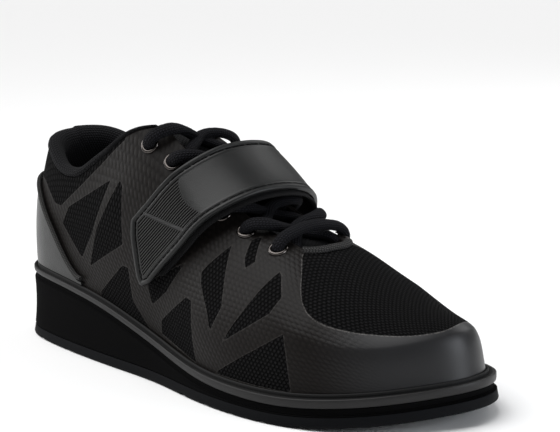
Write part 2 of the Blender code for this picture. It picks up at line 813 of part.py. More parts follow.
def build_collar():
    """The padded roll over the rim and the lining pad below it."""
    picked = collar_columns()
    rings = []
    for number, i in enumerate(picked):
        t, medial = COLUMNS[i]
        rim = min(RIMS[i], 0.985)
        p = surface(t, rim)
        slim = float(smoothstep(p[0] / SOLE_LENGTH, 0.26, 0.34))
        end = min(1.0, 0.55 + 0.25 * min(number, len(picked) - 1 - number))
        v = np.linspace(0, rim, 81)
        run = np.concatenate([[0], np.cumsum(np.linalg.norm(np.diff(surface(t, v), axis=0), axis=1))])
        tangent = p - surface(t, rim - 0.02)
        tangent /= np.linalg.norm(tangent)
        ring = []
        for out, up in collar_section(slim, end):
            if up >= 0:
                ring.append(p + outward(t, rim) * out + tangent * up)
                continue
            share = float(np.interp(run[-1] + up, run, v))
            ring.append(surface(t, share) + outward(t, share) * out)
        rings.append(ring)
    points, faces = loft(rings, True, True)
    return add_object("collar", points, faces, "collar")


def tongue_drop(place, w):
    """How far the tongue's face lies below the form: square to it, and straight down."""
    flat = (1 - min(w * w, 1.0)) ** 1.5
    square = WALL + LACE_GAP + float(plain_table(TONGUE_FORM, 3, place))
    return square, float(natural_spline(TONGUE_FORM, 2, place)) * flat


def tongue_point(place, w, deeper):
    x = place * SOLE_LENGTH
    y = THROAT_AXIS + float(natural_spline(TONGUE_FORM, 1, place)) * w
    t, v = share_over(x, y)
    square, down = tongue_drop(place, w)
    return surface(t, v) - outward(t, v) * (square + deeper) - np.array([0, 0, down])


def build_tongue():
    across = np.array([-1, -0.9, -0.66, -0.35, 0, 0.35, 0.66, 0.9, 1])
    steps = np.concatenate([[0, 0.008, 0.022], np.linspace(0.045, TONGUE_END - TONGUE_TOP, 11)])
    outer, inner = [], []
    for number, step in enumerate(steps):
        end = min(1.0, 0.45 + 0.35 * number)
        row_out, row_in = [], []
        for w in across:
            place = TONGUE_TOP + step + 0.022 * w * w * max(0.0, 1 - step / 0.045)
            thick = TONGUE_EDGE + (TONGUE_THICKNESS - TONGUE_EDGE) * (1 - w * w) ** 0.5 * end
            row_out.append(tongue_point(place, w, 0.0))
            row_in.append(tongue_point(place, w, thick))
        outer.append(row_out)
        inner.append(row_in)
    points, faces = plate(np.array(outer), np.array(inner))
    return add_object("tongue", points, faces, "tongue")


def share_over(x, y):
    """Shares (t, v) of the form's point over (x, y) near the ridge."""
    medial = y > float(section(2, x)) * BALL_WIDTH
    t = float(share_at(x, medial))
    v = np.linspace(0.02, 1, 600)
    ys = surface(t, v)[:, 1]
    ys = -ys if medial else ys
    return t, float(np.interp(-y if medial else y, ys, v))


def counter_top(t, medial):
    """The share v of the heel counter's edge on a column."""
    v = np.linspace(0, 1, 401)
    p = surface(t, v)
    over = p[:, 2] - plain_smooth(COUNTER_LINE, p[:, 0] / SOLE_LENGTH) * INSTEP_HEIGHT
    return float(np.interp(0, over, v))


def plain_smooth(table, places):
    return natural_spline(table, 1, places)


def share_over_lip(t):
    """The share v just over the lip's bead on a column."""
    foot = surface(t, 0)
    return share_of_height(t, float(foot[2] + lip(foot[0])) + BEAD_HEIGHT + 2 * GAP)


def counter_columns():
    """Shares round the heel that the counter covers, from the lateral to the medial side."""
    limit = COUNTER_END * SOLE_LENGTH
    start = float(share_at(limit, False))
    end = float(share_at(limit, True)) - 1
    inside = [t if t < 0.5 else t - 1 for t, _ in COLUMNS]
    inside = sorted((t for t in inside if end + 0.004 < t < start - 0.004), reverse=True)
    return [start] + inside + [end]


def build_counter():
    outer, inner = [], []
    for t in counter_columns():
        medial = t < 0
        low = share_over_lip(t)
        high = max(counter_top(t, medial), low + 0.004)
        v = np.linspace(low, high, 5)
        outer.append(lifted(t, v, SEAT_GAP + COUNTER_THICKNESS))
        inner.append(lifted(t, v, SEAT_GAP))
    points, faces = plate(np.array(outer), np.array(inner))
    return add_object("heel_counter", points, faces, "counter")


def build_piping():
    """The raised seam along the counter's edge."""
    spots, ups = [], []
    for t in counter_columns():
        v = max(counter_top(t, t < 0), share_over_lip(t) + 0.004)
        near = surface(t, v)
        step = (PIPING_RADIUS + 2 * GAP) / float(np.linalg.norm(surface(t, v + 0.05) - near)) * 0.05
        spots.append(lifted(t, v + step, PIPING_RADIUS + SEAT_GAP))
        ups.append(outward(t, v + step))
    points, faces = sweep(spots, 6, PIPING_RADIUS, PIPING_RADIUS, np.array(ups))
    return add_object("counter_piping", points, faces, "piping")


class Wrap:
    """Places on the band where the strap crosses the upper, leaning back as it goes down."""

    def __init__(self):
        self.places = np.linspace(0.22, 0.80, 120) * SOLE_LENGTH
        self.shares = {m: share_at(self.places, m) for m in (False, True)}

    def spot(self, width, q):
        """Shares (t, v) for a share of the strap's width and a place across from -1 to 1."""
        v = 1 - abs(q)
        medial = q > 0
        t = self.shares[medial]
        p = surface(t, np.full(len(t), v))
        lean = p[:, 0] * math.cos(STRAP_LEAN) - p[:, 2] * math.sin(STRAP_LEAN)
        back, front = float(plain_table(STRAP_EDGES, 1, q)), float(plain_table(STRAP_EDGES, 2, q))
        target = STRAP_BACK + (STRAP_FRONT - STRAP_BACK) * (back + (front - back) * width)
        return float(np.interp(target, lean, t)), v

    def point(self, width, q, lift):
        q = q if abs(q) > 0.004 else 0.004
        t, v = self.spot(width, q)
        return surface(t, v) + outward(t, v) * lift

    def scale(self, width, q):
        a, b = self.point(width, q - 0.01, 0), self.point(width, q + 0.01, 0)
        return float(np.linalg.norm(b - a)) / 0.02


def under_lift(q, w):
    """The height of the under layer's lower face over the upper's form."""
    spread = q + np.array([-0.03, -0.015, 0.0, 0.015, 0.03])
    level, back, middle = (float(np.mean(plain_table(LIFT_UNDER_STRAP, c, spread))) for c in (1, 2, 3))
    w = min(max(w, 0.0), 1.0)
    return STRAP_RISE * (level + back * (1 - w) + middle * 4 * w * (1 - w))


def ribbon(wrap, widths, path_of, thickness):
    """A strip of even thickness; path_of(width) holds its middle line as (place across, height)."""
    outer, inner = [], []
    for w in widths:
        path = np.array(path_of(w))
        scales = np.array([wrap.scale(w, q) for q in path[:, 0]])
        flat = np.stack([np.concatenate([[0], np.cumsum(np.diff(path[:, 0]) * scales[1:])]), path[:, 1]], 1)
        ahead = np.gradient(flat, axis=0)
        ahead /= np.linalg.norm(ahead, axis=1)[:, None]
        normal = np.stack([-ahead[:, 1], ahead[:, 0]], 1) * thickness / 2
        outer.append([wrap.point(w, q + n[0] / s, h + n[1]) for (q, h), n, s in zip(path, normal, scales)])
        inner.append([wrap.point(w, q - n[0] / s, h - n[1]) for (q, h), n, s in zip(path, normal, scales)])
    return plate(np.array(outer), np.array(inner))


def bar_level():
    """The height of the ring's bars over the upper's form."""
    return GAP + TAB_THICKNESS + GAP + RING_WIRE


def bar_place(wrap, w):
    """The place across the instep of the ring's upper and lower bar."""
    upper = RING_PLACE
    return upper, upper + RING_DEPTH / wrap.scale(w, upper)


def turn_round(wrap, w, q, start, end, thickness, count):
    """Middle line of a strip that turns round a bar, in degrees from straight out."""
    radius = RING_WIRE + GAP + thickness / 2
    scale = wrap.scale(w, q)
    angles = np.radians(np.linspace(start, end, count))
    return [(q + radius * math.sin(a) / scale, bar_level() + radius * math.cos(a)) for a in angles]


def band_places(start, stop, count):
    """Places across the instep from a strip's end, through the shared places."""
    first = BAND_PLACES[0]
    end_part = start + (first - start) * np.arange(count - 1) / (count - 1)
    return list(end_part) + [q for q in BAND_PLACES if q <= stop]


def strap_path(wrap, w):
    start = float(plain_table(STRAP_TIP, 1, w))
    upper, lower = bar_place(wrap, w)
    over = BASE_THICKNESS + SEAT_GAP + STRAP_THICKNESS / 2
    top = bar_level() + RING_WIRE + GAP + STRAP_THICKNESS / 2
    path = []
    for q in band_places(start, BAND_PLACES[-1], 5) + [upper - 0.03]:
        blend = float(smoothstep(q, 0.44, upper - 0.03))
        path.append((q, (under_lift(q, w) + over) * (1 - blend) + top * blend))
    path += turn_round(wrap, w, upper, 0, 180, STRAP_THICKNESS, 5)
    path.append((upper - STRAP_RETURN / wrap.scale(w, upper), path[-1][1]))
    return path


def base_path(wrap, w):
    start = float(plain_table(BASE_TIP, 1, w))
    stop = RING_PLACE - (STRAP_RETURN + 0.003) / wrap.scale(w, RING_PLACE)
    low = bar_level() - RING_WIRE - GAP - BASE_THICKNESS / 2
    path = []
    for q in band_places(start, BAND_PLACES[-2], 4) + [stop]:
        blend = float(smoothstep(q, 0.44, stop))
        path.append((q, (under_lift(q, w) + BASE_THICKNESS / 2) * (1 - blend) + low * blend))
    return path


def tab_path(wrap, w):
    upper, lower = bar_place(wrap, w)
    scale = wrap.scale(w, lower)
    flat = GAP + TAB_THICKNESS / 2
    path = [(q, flat) for q in np.linspace(TAB_END, lower + 0.05, 6)]
    path += turn_round(wrap, w, lower, 180, 360, TAB_THICKNESS, 6)
    over = flat + TAB_THICKNESS + GAP
    path.append((lower + 0.55 * TAB_RETURN / scale, (path[-1][1] + over) / 2))
    path.append((lower + TAB_RETURN / scale, over))
    return path


def build_strap(wrap):
    widths = (0, 0.18, 0.42, 0.66, 0.85, 0.93, 1)
    points, faces = ribbon(wrap, widths, lambda w: strap_path(wrap, w), STRAP_THICKNESS)
    return add_object("strap", points, faces, "strap")


def build_strap_base(wrap):
    widths = (0.02, 0.18, 0.42, 0.66, 0.85, 1, 1.07)
    points, faces = ribbon(wrap, widths, lambda w: base_path(wrap, w), BASE_THICKNESS)
    return add_object("strap_base", points, faces, "strap")


def build_tab(wrap):
    """The leather anchor that holds the ring's lower bar and runs down to the sole."""
    points, faces = ribbon(wrap, (0, 0.33, 0.67, 1), lambda w: tab_path(wrap, w), TAB_THICKNESS)
    return add_object("ring_tab", points, faces, "strap")


def build_ring(wrap):
    """A rectangular wire ring between the strap and its tab."""
    past = (RING_WIRE + RING_REACH) / (STRAP_FRONT - STRAP_BACK)
    corner = 0.0020
    turn = corner / (STRAP_FRONT - STRAP_BACK)
    near, far = corner / RING_DEPTH, 1 - corner / RING_DEPTH
    outline = (
        (-past + turn, 0), (0.25, 0), (0.5, 0), (0.75, 0), (1 + past - turn, 0), (1 + past, near), (1 + past, far),
        (1 + past - turn, 1), (0.75, 1), (0.5, 1), (0.25, 1), (-past + turn, 1), (-past, far), (-past, near),
    )
    spots = []
    for w, down in outline:
        upper, lower = bar_place(wrap, w)
        spots.append(wrap.point(w, upper + (lower - upper) * down, bar_level()))
    spots = np.array(spots)
    ahead = np.roll(spots, -1, 0) - np.roll(spots, 1, 0)
    ahead /= np.linalg.norm(ahead, axis=1)[:, None]
    up = outward(*wrap.spot(0.5, RING_PLACE))
    rings = []
    for p, a in zip(spots, ahead):
        side = np.cross(a, up)
        side /= np.linalg.norm(side)
        top = np.cross(side, a)
        turns = 2 * math.pi * np.arange(6) / 6
        rings.append([p + RING_WIRE * (math.cos(c) * side + math.sin(c) * top) for c in turns])
    points, faces = loft(rings + [rings[0]], True, False)
    return add_object("strap_ring", points, faces, "metal")


def throat_point(x, y):
    """The middle of a lace that rests on the tongue at (x, y)."""
    place = x / SOLE_LENGTH
    w = (y - THROAT_AXIS) / float(natural_spline(TONGUE_FORM, 1, place))
    return tongue_point(place, max(-1, min(1, w)), -2 * LACE_GAP - LACE_THICKNESS / 2)


def over_level():
    """The height of a lace's middle where it lies on a flap."""
    return GAP + EYELET_RIM + LACE_GAP + LACE_THICKNESS / 2


def lace_path(row, medial):
    """A strand from beside one flap, over the tongue and the other flap, to the next pair's hole."""
    side = 1 if medial else -1
    centre, n = eyelet_frame(row - 1, medial)[:2]
    first = EYELETS[row][0] * SOLE_LENGTH
    last = float(centre[0])
    start = float(throat_half(first)) - LACE_WIDTH / 2 - 2 * LACE_GAP
    spots = []
    for share in (0.0, 0.22, 0.44):
        x = first + (last - first) * share
        spots.append(throat_point(x, THROAT_AXIS - side * start * (1 - share / 0.48)))
    edge = float(last + (first - last) * 0.42)
    t, v = share_below_rim(edge, 0.0006, medial)
    spots.append(lifted(t, v, over_level()))
    spots.append(centre + n * over_level())
    spots = np.array(spots)
    run = np.concatenate([[0], np.cumsum(np.linalg.norm(np.diff(spots, axis=0), axis=1))])
    even = np.linspace(0, run[-1], 7)
    path = np.stack([natural_spline(np.column_stack([run, spots]), 1 + c, even) for c in range(3)], 1)
    ups = np.tile(np.array([0.0, 0.0, 1.0]), (len(path), 1))
    blend = smoothstep(even / run[-1], 0.5, 1.0)[:, None]
    ups = ups * (1 - blend) + n * blend
    return path, ups


def build_cross(row):
    """The two strands that cross between one pair of eyelets and the next above it."""
    strands = []
    for medial in (False, True):
        path, ups = lace_path(row, medial)
        points, faces = sweep(path, LACE_SIDES, LACE_WIDTH / 2, LACE_THICKNESS / 2, ups)
        name = "lace_cross_" + str(row) if not medial else "lace_strand_cutter"
        strands.append(add_object(name, points, faces, "lace"))
    boolean(strands[0], strands[1], "UNION")
    return strands[0]


def build_bar():
    """The lowest strand, straight across the throat's base."""
    row = len(EYELETS) - 1
    a, b = eyelet_frame(row, False), eyelet_frame(row, True)
    spots, ups = [], []
    for s in np.linspace(0, 1, 9):
        x = float(a[0][0] + (b[0][0] - a[0][0]) * s)
        y = float(a[0][1] + (b[0][1] - a[0][1]) * s)
        t, v = share_over(x, y)
        n = outward(t, v)
        spots.append(surface(t, v) + n * (over_level() + GAP))
        ups.append(n)
    points, faces = sweep(spots, LACE_SIDES, LACE_WIDTH / 2, LACE_THICKNESS / 2, np.array(ups))
    return add_object("lace_bar", points, faces, "lace")


def centre_model():
    """Moves everything so that the box over the floor is centred on the origin."""
    shown = [o for o in bpy.data.objects if not o.hide_render]
    corners = np.array([o.matrix_world @ v.co for o in shown for v in o.data.vertices])
    low, high = corners.min(0), corners.max(0)
    shift = Vector(((low[0] + high[0]) / -2, (low[1] + high[1]) / -2, -low[2]))
    for item in bpy.data.objects:
        item.data.transform(Matrix.Translation(shift))


def main():
    clear_scene()
    build_outsole()
    build_midsole()
    build_welt()
    build_insole()
    build_upper()
    build_collar()
    build_tongue()
    build_counter()
    build_piping()
    for row, medial in eyelet_places():
        build_eyelet(row, medial)
    wrap = Wrap()
    build_strap(wrap)
    build_strap_base(wrap)
    build_ring(wrap)
    build_tab(wrap)
    for row in range(len(EYELETS) - 1, 0, -1):
        build_cross(row)
    build_bar()
    centre_model()


main()
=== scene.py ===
"""Looks of a right weightlifting shoe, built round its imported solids.

Metres, +X to the toe, +Y to the inner (medial) side, +Z up, the sole on z = 0.
"""

import logging
import math
from dataclasses import dataclass
from enum import Enum
from typing import Callable, Optional, Sequence, Union

import bpy
import numpy as np
from mathutils import Matrix


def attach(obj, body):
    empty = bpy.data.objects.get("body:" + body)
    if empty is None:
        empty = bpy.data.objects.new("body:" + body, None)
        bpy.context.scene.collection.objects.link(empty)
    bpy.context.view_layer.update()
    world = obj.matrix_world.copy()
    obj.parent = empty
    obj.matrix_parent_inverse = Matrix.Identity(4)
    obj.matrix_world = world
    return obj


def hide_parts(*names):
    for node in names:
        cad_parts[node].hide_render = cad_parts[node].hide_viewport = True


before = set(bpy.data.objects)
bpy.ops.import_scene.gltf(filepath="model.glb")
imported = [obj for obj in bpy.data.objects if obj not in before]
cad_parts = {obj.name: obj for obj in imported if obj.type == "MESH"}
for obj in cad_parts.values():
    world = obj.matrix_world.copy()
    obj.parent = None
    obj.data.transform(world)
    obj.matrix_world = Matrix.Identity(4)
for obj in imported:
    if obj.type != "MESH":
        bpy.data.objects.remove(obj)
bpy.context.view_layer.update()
log = logging.getLogger("shoe")

Array = np.ndarray
Number = Union["Value", float]
Table = Sequence[Sequence[float]]


class Side(Enum):
    """The two sides of the foot."""

    LATERAL = -1
    MEDIAL = 1


@dataclass(frozen=True)
class Sizes:
    """The shoe's named sizes, in metres, and its places as shares of the sole's length."""

    length: float = 0.290
    ball: float = 0.110
    heel_stack: float = 0.0352
    forefoot_stack: float = 0.0088
    spring: float = 0.0075
    spring_start: float = 0.75
    outsole: float = 0.005
    flare: float = 0.0014
    step_height: float = 0.0026
    step_depth: float = 0.0009
    groove_depth: float = 0.0012
    groove_width: float = 0.0035
    welt: float = 0.0042
    ledge: float = 0.0032
    bead_width: float = 0.0012
    bead_height: float = 0.0017
    instep: float = 0.118
    wall: float = 0.0022
    heel_centre: float = 0.150
    toe_focus: float = 0.800
    throat_base: float = 0.7160
    throat_axis: float = 0.0020
    throat_corner: float = 0.0090
    rim_softness: float = 0.018
    gap: float = 0.0003
    seat: float = 0.0005
    origin: tuple = (0.144859, 0.001100, 0.0)


SIZE = Sizes()

SOLE_OUTLINE = (
    # along the length, across the ball width
    (0.000, 0.000), (0.018, -0.185), (0.060, -0.292), (0.140, -0.350), (0.250, -0.384), (0.360, -0.402),
    (0.470, -0.420), (0.580, -0.468), (0.670, -0.490), (0.760, -0.475), (0.840, -0.410), (0.910, -0.290),
    (0.965, -0.125), (1.000, 0.080), (0.985, 0.250), (0.940, 0.370), (0.870, 0.462), (0.790, 0.505),
    (0.720, 0.508), (0.620, 0.460), (0.520, 0.390), (0.420, 0.345), (0.320, 0.335), (0.220, 0.345),
    (0.130, 0.345), (0.060, 0.292), (0.018, 0.185),
)

WEDGE_LINE = (
    # along, share of the heel's extra height that is left
    (0.00, 1.000), (0.08, 0.966), (0.16, 0.928), (0.24, 0.852), (0.32, 0.720), (0.40, 0.508),
    (0.50, 0.242), (0.60, 0.068), (0.70, 0.000), (0.85, 0.000), (1.00, 0.000),
)

LIP_LINE = (
    # along, height of the lip as a share of its height at the toe
    (0.00, 0.67), (0.30, 0.67), (0.50, 0.80), (0.65, 0.95), (0.75, 1.00), (1.00, 1.00),
)

SECTIONS = (
    # along, ridge height, ridge across, squareness of side, squareness of top, swell, pinch of the ankle
    (0.00, 0.967, 0.0000, 2.25, 2.60, 0.012, 0.27),
    (0.15, 1.021, 0.0000, 2.25, 2.60, 0.010, 0.27),
    (0.30, 0.965, 0.0000, 2.30, 2.40, 0.006, 0.12),
    (0.41, 0.8425, 0.0060, 2.30, 2.30, 0.006, 0.02),
    (0.50, 0.7066, 0.0120, 2.25, 2.20, 0.010, 0.00),
    (0.62, 0.588, 0.0200, 2.20, 2.10, 0.010, 0.00),
    (0.72, 0.519, 0.0125, 2.12, 2.50, -0.006, 0.00),
    (0.80, 0.418, 0.0155, 2.11, 3.15, -0.015, 0.00),
    (0.90, 0.330, 0.0250, 2.20, 3.25, -0.019, 0.00),
    (1.00, 0.374, 0.0300, 2.20, 3.25, -0.019, 0.00),
)

COLLAR_RIM = (
    # along, height of the lateral rim, height of the medial rim (shares of the instep height)
    (0.000, 0.890, 0.892), (0.030, 0.884, 0.890), (0.065, 0.862, 0.873), (0.105, 0.816, 0.828),
    (0.145, 0.770, 0.780), (0.180, 0.758, 0.768), (0.215, 0.773, 0.776), (0.245, 0.817, 0.808),
    (0.280, 0.876, 0.852), (0.315, 0.950, 0.912), (0.340, 0.987, 0.942), (0.362, 1.004, 0.956),
    (0.450, 1.020, 0.975), (1.000, 1.200, 1.200),
)

THROAT_EDGE = (
    # along, half width of the throat
    (0.300, 0.0210), (0.380, 0.0195), (0.450, 0.0175), (0.600, 0.0150), (0.716, 0.0140),
)

EYELETS = (
    # along, distance below the lateral throat edge, distance below the medial throat edge
    (0.378, 0.0098, 0.0096), (0.430, 0.0094, 0.0092), (0.488, 0.0088, 0.0086),
    (0.545, 0.0082, 0.0080), (0.600, 0.0076, 0.0076), (0.673, 0.0076, 0.0076),
)

COUNTER_LINE = (
    # along, height of the counter's edge (share of the instep height)
    (0.000, 0.706), (0.050, 0.694), (0.080, 0.645), (0.108, 0.578), (0.141, 0.503),
    (0.176, 0.418), (0.207, 0.352), (0.240, 0.306), (0.300, 0.245),
)

TONGUE_FORM = (
    # along, half width, sag below the upper's form, extra clearance under the flaps
    (0.372, 0.0200, 0.0125, 0.0022), (0.400, 0.0245, 0.0100, 0.0020), (0.450, 0.0250, 0.0075, 0.0004),
    (0.550, 0.0240, 0.0050, 0.0004), (0.650, 0.0225, 0.0030, 0.0004), (0.765, 0.0185, 0.0006, 0.0010),
)

WINDOWS = (
    # outlines of the open mesh in the film on a side: (along, height) as shares of length and instep height
    ((0.092, 0.717), (0.118, 0.673), (0.140, 0.632), (0.160, 0.628), (0.165, 0.634), (0.219, 0.730),
     (0.270, 0.830), (0.322, 0.949), (0.33, 1.3), (-0.5, 1.3), (-0.5, 0.74), (0.05, 0.735)),
    ((0.307, 0.780), (0.188, 0.632), (0.168, 0.554), (0.239, 0.428), (0.268, 0.537)),
    ((0.333, 0.786), (0.341, 0.766), (0.359, 0.528), (0.265, 0.402), (0.283, 0.567)),
    ((0.296, 0.300), (0.362, 0.441), (0.378, 0.437), (0.391, 0.304), (0.461, 0.150), (0.300, 0.250)),
    ((0.431, 0.395), (0.447, 0.311), (0.484, 0.382), (0.520, 0.511)),
    ((0.541, 0.383), (0.556, 0.374), (0.577, 0.197), (0.584, 0.142), (0.474, 0.203), (0.474, 0.259)),
    ((0.597, 0.597), (0.597, 0.584), (0.630, 0.381), (0.617, 0.285), (0.602, 0.350), (0.569, 0.444),
     (0.561, 0.489)),
    ((0.630, 0.630), (0.655, 0.550), (0.645, 0.528), (0.633, 0.558), (0.622, 0.616)),
    ((0.709, 0.529), (0.716, 0.517), (0.739, 0.453), (0.732, 0.395), (0.650, 0.260), (0.668, 0.341),
     (0.691, 0.439)),
    ((0.769, 0.332), (0.779, 0.264), (0.793, 0.123), (0.637, 0.130)),
)

VAMP_PANEL = (
    # outline of the mesh panel over the toes, seen from above: along, across the ball width
    (0.709, -0.104), (0.724, -0.165), (0.742, -0.214), (0.759, -0.262), (0.774, -0.293), (0.791, -0.309),
    (0.806, -0.308), (0.827, -0.289), (0.857, -0.244), (0.882, -0.195), (0.921, -0.103), (0.946, -0.017),
    (0.956, 0.061), (0.943, 0.193), (0.915, 0.300), (0.870, 0.385), (0.815, 0.415), (0.770, 0.390),
    (0.738, 0.310), (0.718, 0.190), (0.710, 0.050),
)

DENTS = (
    # along, height, side, length, depth in millimetres, run, lean: soft troughs (+) and ridges (-) in the upper
    (0.235, 0.66, -1, 0.055, 0.9, 0.012, 0.9),
    (0.300, 0.70, -1, 0.050, -0.5, 0.012, 0.9),
    (0.235, 0.66, 1, 0.055, 0.9, 0.012, 0.9),
    (0.340, 0.60, 1, 0.050, 0.7, 0.014, 0.7),
    (0.500, 0.40, -1, 0.060, 0.6, 0.016, 0.5),
    (0.600, 0.30, 1, 0.060, 0.6, 0.016, 0.4),
    (0.705, 0.34, -1, 0.050, 0.7, 0.010, -0.9),
    (0.745, 0.30, -1, 0.050, -0.5, 0.010, -0.9),
    (0.705, 0.34, 1, 0.050, 0.7, 0.010, -0.9),
    (0.760, 0.48, 0, 0.060, 0.5, 0.012, 0.1),
)


def smoothstep(values: Array, start: float, end: float) -> Array:
    """A soft step from 0 at start to 1 at end.

    Args:
        values: Where to work it out.
        start: The value where the step leaves 0.
        end: The value where it reaches 1.

    Returns:
        The step at each value.
    """
    u = np.clip((np.asarray(values, float) - start) / (end - start), 0.0, 1.0)
    return u * u * (3.0 - 2.0 * u)


def natural_spline(table: Table, column: int, places: Array) -> Array:
    """Smooth interpolation of one column of a table over its first column.

    Args:
        table: Rows with the place first.
        column: The column to read.
        places: Where to read it.

    Returns:
        The column's value at each place.
    """
    rows = np.array(table, float)
    k, v = rows[:, 0], rows[:, column]
    n = len(k)
    h = np.diff(k)
    a = np.eye(n)
    b = np.zeros(n)
    for i in range(1, n - 1):
        a[i, i - 1:i + 2] = h[i - 1], 2 * (h[i - 1] + h[i]), h[i]
        b[i] = 6 * ((v[i + 1] - v[i]) / h[i] - (v[i] - v[i - 1]) / h[i - 1])
    m = np.linalg.solve(a, b)
    x = np.clip(np.asarray(places, float), k[0], k[-1])
    i = np.clip(np.searchsorted(k, x, side="right") - 1, 0, n - 2)
    left, right, g = x - k[i], k[i + 1] - x, h[i]
    curve = (m[i] * right ** 3 + m[i + 1] * left ** 3) / (6 * g)
    return curve + (v[i] / g - m[i] * g / 6) * right + (v[i + 1] / g - m[i + 1] * g / 6) * left


def plain_table(table: Table, column: int, places: Array) -> Array:
    """Straight interpolation of one column of a table over its first column."""
    rows = np.array(table, float)
    return np.interp(places, rows[:, 0], rows[:, column])


def closed_curve(points: Array, count: int) -> Array:
    """A smooth closed curve through plan points, sampled evenly along its length.

    Args:
        points: The points that it passes through.
        count: How many samples to return.

    Returns:
        The samples, (count, 2).
    """
    p = np.asarray(points, float)
    n = len(p)
    steps = np.linalg.norm(np.roll(p, -1, 0) - p, axis=1)
    k = np.concatenate([[0.0], np.cumsum(np.sqrt(steps))])
    h = np.diff(k)
    a = np.zeros((n, n))
    b = np.zeros((n, 2))
    for i in range(n):
        before, after = h[i - 1], h[i]
        a[i, (i - 1) % n] += before
        a[i, i] += 2 * (before + after)
        a[i, (i + 1) % n] += after
        b[i] = 6 * ((p[(i + 1) % n] - p[i]) / after - (p[i] - p[i - 1]) / before)
    m = np.linalg.solve(a, b)

    def at(t: Array) -> Array:
        """The curve at its own measure."""
        t = np.mod(t, k[-1])
        i = np.clip(np.searchsorted(k, t, side="right") - 1, 0, n - 1)
        j = (i + 1) % n
        left = (t - k[i])[:, None]
        g = h[i][:, None]
        right = g - left
        curve = (m[i] * right ** 3 + m[j] * left ** 3) / (6 * g)
        return curve + (p[i] / g - m[i] * g / 6) * right + (p[j] / g - m[j] * g / 6) * left

    fine = at(np.linspace(0, k[-1], 4001))
    run = np.concatenate([[0.0], np.cumsum(np.linalg.norm(np.diff(fine, axis=0), axis=1))])
    even = np.linspace(0, run[-1], count, endpoint=False)
    return at(np.interp(even, run, np.linspace(0, k[-1], 4001)))


def grown(loop: Array, amount: float) -> Array:
    """A closed loop of plan points moved outward by an amount."""
    tangent = np.roll(loop, -1, 0) - np.roll(loop, 1, 0)
    tangent /= np.linalg.norm(tangent, axis=1)[:, None]
    return loop + np.stack([tangent[:, 1], -tangent[:, 0]], 1) * amount


def run_length(points: Array) -> Array:
    """The distance along a line of points, from its first one."""
    return np.concatenate([[0.0], np.cumsum(np.linalg.norm(np.diff(points, axis=0), axis=1))])


def resampled(points: Array, step: float) -> Array:
    """A line of points resampled to an even step."""
    run = run_length(points)
    even = np.linspace(0, run[-1], max(2, int(round(run[-1] / step)) + 1))
    return np.stack([np.interp(even, run, points[:, c]) for c in range(points.shape[1])], 1)


def unit(vectors: Array) -> Array:
    """Vectors scaled to a length of one."""
    return vectors / np.maximum(np.linalg.norm(vectors, axis=-1), 1e-12)[..., None]


def polygon_distance(points: Array, outline: Array) -> Array:
    """Signed distance to a polygon, positive inside.

    Args:
        points: Places in the plane, (count, 2).
        outline: The polygon's corners, (corners, 2).

    Returns:
        The distance of each place.
    """
    best = np.full(len(points), 1e9)
    inside = np.zeros(len(points), bool)
    for a, b in zip(outline, np.roll(outline, -1, 0)):
        ab, ap = b - a, points - a
        share = np.clip((ap @ ab) / max(float(ab @ ab), 1e-12), 0, 1)
        best = np.minimum(best, np.linalg.norm(ap - share[:, None] * ab, axis=1))
        crosses = (a[1] > points[:, 1]) != (b[1] > points[:, 1])
        slope = (b[0] - a[0]) * (points[:, 1] - a[1]) / (b[1] - a[1] if b[1] != a[1] else 1e-12) + a[0]
        inside ^= crosses & (points[:, 0] < slope)
    return np.where(inside, best, -best)


